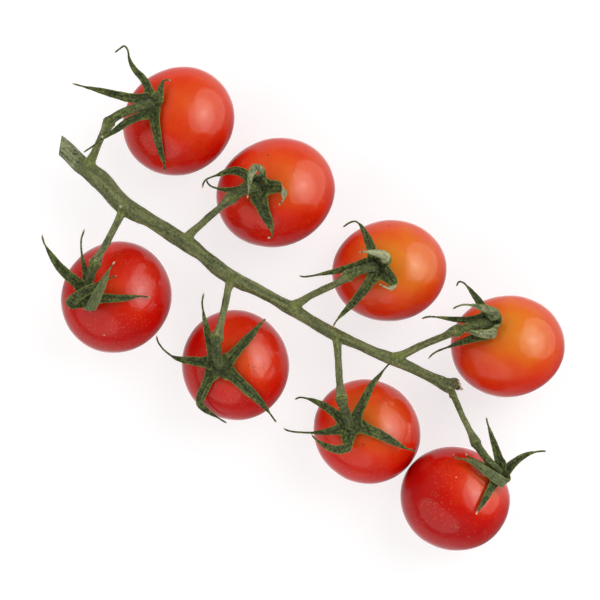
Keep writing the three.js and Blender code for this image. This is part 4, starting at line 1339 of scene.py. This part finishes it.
class GreenLook(bpy.types.PropertyGroup):
    """The green parts: the stem and the calyces."""

    leaf: hue("Leaf", "Light patches of the sepals", (0.17, 0.2, 0.036))
    leaf_shade: hue("Leaf shade", "Dark patches", (0.008, 0.016, 0.003))
    stem: hue("Stem", "Light patches of the stem", (0.32, 0.34, 0.12))
    stem_shade: hue("Stem shade", "Dark patches", (0.015, 0.027, 0.008))
    olive: hue("Olive", "Broad duller patches", (0.06, 0.075, 0.016))
    # The groove colour is painted shade, laid in grooves and hollows.
    groove: hue("Groove", "Down the middle of a sepal", (0.01, 0.018, 0.004))
    fresh: hue("Fresh", "Young edges and joints", (0.36, 0.42, 0.07))
    underside: hue("Underside", "The pale back of a sepal", (0.17, 0.195, 0.07))
    underside_shade: hue("Underside shade", "Its veins", (0.045, 0.065, 0.026))
    bleached: hue("Bleached back", "Where it dried pale", (0.47, 0.48, 0.27))
    down: hue("Down", "Light caught by fine hairs", (0.3, 0.33, 0.2))
    dry: hue("Dry", "Withered tips", (0.09, 0.05, 0.025))
    straw: hue("Straw", "The driest ends", (0.62, 0.5, 0.3))
    calyx_grain: fine_length("Calyx detail", "The finest form on a calyx", 0.17, 0.1, 1)
    stem_grain: fine_length("Stem detail", "The finest form on the stem", 0.23, 0.1, 1)
    hair_length: fine_length("Hair length", "The length of a typical hair", 0.5, 0, 2)
    calyx_hairs: IntProperty(name="Calyx hairs", description="Hairs on a calyx", default=260, min=0)
    stem_hairs: IntProperty(name="Stem hairs", description="Hairs on the stem", default=2600, min=0)


class StageLook(bpy.types.PropertyGroup):
    """The floor, the light and the camera."""

    floor: hue("Floor", "The pale floor", (0.36, 0.36, 0.36))
    floor_glow: FloatProperty(
        name="Floor glow", description="Light that comes up through the floor", default=0.7, min=0
    )
    room: FloatProperty(name="Room light", description="Strength of the light all round", default=1, min=0)
    lens: FloatProperty(name="Lens", description="Focal length in millimetres", default=520, min=50)


def placed_light(name, towards, size, power):
    """An area light. towards is its direction in the picture, from the right, and off the vertical."""
    direction = picture_direction(*towards)
    bpy.ops.object.light_add(
        type="AREA",
        location=direction * LIGHT_DISTANCE,
        rotation=direction.to_track_quat("Z", "Y").to_euler(),
    )
    light = bpy.context.active_object
    light.name = name
    light.data.shape = "ELLIPSE"
    light.data.size, light.data.size_y = size
    light.data.energy = power
    light.visible_camera = False
    return light


def room_light(look):
    """Soft light from all round: dark walls and ceiling, and the pale table seen from below."""
    world = bpy.data.worlds.new("Even room light")
    world.use_nodes = True
    bpy.context.scene.world = world
    tree = world.node_tree
    background = tree.nodes["Background"]
    direction = wired(tree, "ShaderNodeTexCoord").outputs["Generated"]
    height = parts(tree, direction)[2]
    stops = [((where + 1) / 2, (value, value, value)) for where, value in ROOM_LIGHT]
    colour = ramped(tree, spread(tree, height, -1.0, 1.0), stops)
    level = vector_maths(tree, "MULTIPLY", direction, (1, 1, 0))
    level = vector_maths(tree, "NORMALIZE", level)
    strength = look.room
    for turn_deg, from_cosine, to_cosine, darkness in ROOM_SIDES:
        near = vector_maths(tree, "DOT_PRODUCT", level, picture_direction(turn_deg, 90))
        taken = times(tree, spread(tree, near, from_cosine, to_cosine), darkness, clamped=False)
        left = maths(tree, "SUBTRACT", 1.0, taken, clamped=False)
        strength = times(tree, strength, left, clamped=False)
    plugged(tree, background, {"Color": colour, "Strength": strength})


class TRUSS_OT_stage(bpy.types.Operator):
    """Sets out the pale floor, the soft studio light and the camera straight above."""

    bl_idname = "truss.add_stage"
    bl_label = "Stage"

    def execute(self, context):
        look = context.scene.truss_stage
        floor = added(bpy.ops.mesh.primitive_plane_add, size=FLOOR_SIZE, location=(0, 0, 0))
        floor.name = "pale_floor"
        material, tree, pale = new_finish("Pale floor")
        plugged(tree, pale, {
            "Base Color": coloured(look.floor),
            "Roughness": 0.9,
            "Specular IOR Level": 0,
            "Emission Color": (1, 1, 1, 1),
            "Emission Strength": look.floor_glow,
        })
        floor.data.materials.append(material)
        floor.visible_glossy = False
        for lamp in LAMPS:
            placed_light(*lamp).visible_glossy = False
        for reflector in REFLECTORS:
            light = placed_light(*reflector)
            light.visible_diffuse = False
            light.data.color = SOFTBOX_TINT if "softbox" in light.name else REFLECTOR_TINT
        room_light(look)
        middle = place(*PICTURE_MIDDLE_PX, AIM_HEIGHT)
        distance = look.lens / SENSOR_WIDTH * PICTURE_WIDTH_PX * PX
        bpy.ops.object.camera_add(location=middle + UP * distance, rotation=(0, 0, STEM_SLOPE))
        camera = context.active_object
        camera.data.sensor_width = SENSOR_WIDTH
        camera.data.lens = look.lens
        context.scene.camera = camera
        context.scene.view_settings.view_transform = "Standard"
        return {"FINISHED"}


class TRUSS_OT_tomatoes(bpy.types.Operator):
    """Makes the eight ripe fruits."""

    bl_idname = "truss.add_tomatoes"
    bl_label = "Tomatoes"

    def execute(self, context):
        skin = ripe_skin_material(context.scene.truss_skin)
        blank = round_blank()
        for number, fruit in enumerate(FRUITS, 1):
            shape = FruitShape(fruit)
            piece = made_fruit(shape, blank)
            mark_skin(piece, shape, fruit)
            dressed(piece, f"ripe_tomato_{number}", f"tomato_{number}", skin)
        bpy.data.objects.remove(blank)
        return {"FINISHED"}


def calyx_disc(shape, root):
    """The low disc that the sepals spread from, domed and pinched in round the stalk's foot, with painted
    shade in its middle.
    """
    sphere = bpy.ops.mesh.primitive_uv_sphere_add
    piece = added(sphere, segments=DISC_SEGMENTS, ring_count=DISC_RINGS, radius=1, location=(0, 0, 0))
    piece.scale = Vector((DISC_RADIUS, DISC_RADIUS, DISC_HALF_HEIGHT)) * MM
    settled("scale")
    piece.rotation_mode = "QUATERNION"
    piece.rotation_quaternion = UP.rotation_difference(shape.outward(root))
    piece.location = root
    settled("location", "rotation")
    marks = []
    for vert in piece.data.vertices:
        from_middle = (vert.co - root).length / MM
        fresh = DISC_RIM_FRESHNESS * eased(from_middle, DISC_RIM_FROM * DISC_RADIUS, DISC_RADIUS)
        # Painted shade round the stalk's foot in the disc's middle.
        groove = DISC_PAINTED_SHADE * bell(from_middle, DISC_PAINTED_SHADE_SPREAD)
        marks.append((from_middle, 0.0, 0.0, groove, fresh, 0.0, 0.0))
    return piece, marks


def made_calyx(number, fruit, shape, sepal_rod, stalk_rod, look):
    """A calyx: a disc over the stem end, five sepals that spread from it, and the upper stalk."""
    draw = random.Random(number)
    root = shape.over_skin(shape.axis, ROOT_CLEARANCE)
    made = [calyx_disc(shape, root)]
    for index, blade in enumerate(fruit["sepals"]):
        points = [root]
        last_on_skin = 0
        for i, spot in enumerate(blade["route"], 1):
            if len(spot) == 2:
                last_on_skin = i
                points.append(shape.on_skin(*spot, ROOT_CLEARANCE))
            else:
                points.append(place(*spot))
        route = Route(points)
        skin_share = last_on_skin / len(blade["route"])
        places = blade_places(shape, route, skin_share, blade.get("roll"), SEPAL_RINGS)
        section = sepal_section(blade, route.length / MM, number * 10 + index, draw)
        made.append(swept(sepal_rod, places, section))
    made.append(side_stalk(stalk_rod, number, fruit, upper=True))
    pieces, marks = zip(*made)
    piece, marks = grown_together(pieces, marks, look.calyx_grain, CALYX_EASINGS)
    uneven(piece, CALYX_UNEVEN_GRAIN * MM, CALYX_UNEVEN_HEIGHT * MM)
    pushed_clear(piece, shape)
    store_marks(piece, marks)
    return piece


class TRUSS_OT_calyces(bpy.types.Operator):
    """Makes the eight green calyces, each with its own short stalk."""

    bl_idname = "truss.add_calyces"
    bl_label = "Calyces"

    def execute(self, context):
        look = context.scene.truss_green
        green = green_material("Calyx green", look, look.leaf, look.leaf_shade, LEAF_GRAIN)
        sepal_rod = rod(SEPAL_SIDES, SEPAL_RINGS)
        stalk_rod = rod(STALK_SIDES, STALK_RINGS)
        for number, fruit in enumerate(FRUITS, 1):
            piece = made_calyx(number, fruit, FruitShape(fruit), sepal_rod, stalk_rod, look)
            only(piece)
            bpy.ops.object.shade_smooth()
            dressed(piece, f"leafy_calyx_{number}", f"calyx_{number}", green)
            haired(piece, look.calyx_hairs, look.hair_length, number)
        bpy.data.objects.remove(sepal_rod)
        bpy.data.objects.remove(stalk_rod)
        return {"FINISHED"}


def main_stem():
    """The main stalk from its cut end to its broken tip."""
    route = Route([place(*spot[:3]) for spot in STEM_ROUTE], [spot[3] for spot in STEM_ROUTE])
    length = route.length / MM

    def pale_at(share):
        return CUT_PALENESS * (1 - eased(share * length, *CUT_PALE_TO))

    blank = rod(STEM_SIDES, STEM_RINGS)
    section = stalk_section(route.radius, length, 0, pale_at=pale_at)
    piece, marks = swept(blank, stalk_places(route, STEM_RINGS), section)
    bpy.data.objects.remove(blank)
    return piece, marks


def splinter(blank, radii, dryness, spots):
    """A short torn strand at the stem's broken tip, drier towards its end."""
    route = Route([place(*spot) for spot in spots])

    def radius_at(share):
        return radii[0] + (radii[1] - radii[0]) * share

    def dry_at(share):
        return dryness * eased(share, *SPLINTER_DRY_FROM)

    section = stalk_section(radius_at, route.length / MM, SPLINTER_SEED, dry_at=dry_at)
    return swept(blank, stalk_places(route, STALK_RINGS), section)


def cut_across(piece):
    """Cuts the stem's thick end off square, with the pith sunk a little inside its rim."""
    away = Matrix.Rotation(STEM_SLOPE - math.radians(CUT_TURN_DEG), 3, "Z") @ Vector((-1, 0, 0))
    cut_off(piece, place(*CUT_PLACE), away, clear_outer=True)
    bpy.ops.mesh.inset(thickness=CUT_RIM * MM)
    bpy.ops.transform.translate(value=away * -PITH_DEPTH * MM)
    bpy.ops.object.mode_set(mode="OBJECT")


class TRUSS_OT_stem(bpy.types.Operator):
    """Makes the stem with its eight side stalks, its cut end and its broken stub."""

    bl_idname = "truss.add_stem"
    bl_label = "Stem"

    def execute(self, context):
        look = context.scene.truss_green
        green = green_material("Stem green", look, look.stem, look.stem_shade, STEM_GRAIN)
        made = [main_stem()]
        stalk_rod = rod(STALK_SIDES, STALK_RINGS)
        for number, fruit in enumerate(FRUITS, 1):
            made.append(side_stalk(stalk_rod, number, fruit, upper=False))
        for radii, dryness, spots in SPLINTERS:
            made.append(splinter(stalk_rod, radii, dryness, spots))
        bpy.data.objects.remove(stalk_rod)
        pieces, marks = zip(*made)
        piece, marks = grown_together(pieces, marks, look.stem_grain, STEM_EASINGS)
        uneven(piece, STEM_UNEVEN_GRAIN * MM, STEM_UNEVEN_HEIGHT * MM)
        store_marks(piece, marks)
        cut_across(piece)
        only(piece)
        bpy.ops.object.shade_smooth()
        dressed(piece, "green_stem", "stem", green)
        haired(piece, look.stem_hairs, look.hair_length, 0)
        return {"FINISHED"}


class TRUSS_PT_pieces(bpy.types.Panel):
    """Lists the truss's pieces and the sizes and colours that they take."""

    bl_label = "Tomato Truss"
    bl_idname = "TRUSS_PT_pieces"
    bl_space_type = "VIEW_3D"
    bl_region_type = "UI"
    bl_category = "Tomato Truss"

    def draw(self, context):
        for operator in OPERATORS:
            self.layout.operator(operator.bl_idname)
        for group, owner in GROUPS.items():
            box = self.layout.box()
            for name in owner.__annotations__:
                box.prop(getattr(context.scene, group), name)


OPERATORS = (TRUSS_OT_stage, TRUSS_OT_tomatoes, TRUSS_OT_calyces, TRUSS_OT_stem)
GROUPS = {"truss_skin": RipeSkinLook, "truss_green": GreenLook, "truss_stage": StageLook}


def register():
    for part in (*GROUPS.values(), *OPERATORS, TRUSS_PT_pieces):
        bpy.utils.register_class(part)
    for group, owner in GROUPS.items():
        setattr(bpy.types.Scene, group, PointerProperty(type=owner))


def unregister():
    for group in GROUPS:
        delattr(bpy.types.Scene, group)
    for part in (TRUSS_PT_pieces, *reversed(OPERATORS), *GROUPS.values()):
        bpy.utils.unregister_class(part)


def main():
    register()
    bpy.ops.truss.add_stage()
    bpy.ops.truss.add_tomatoes()
    bpy.ops.truss.add_calyces()
    bpy.ops.truss.add_stem()


if __name__ == "__main__":
    main()
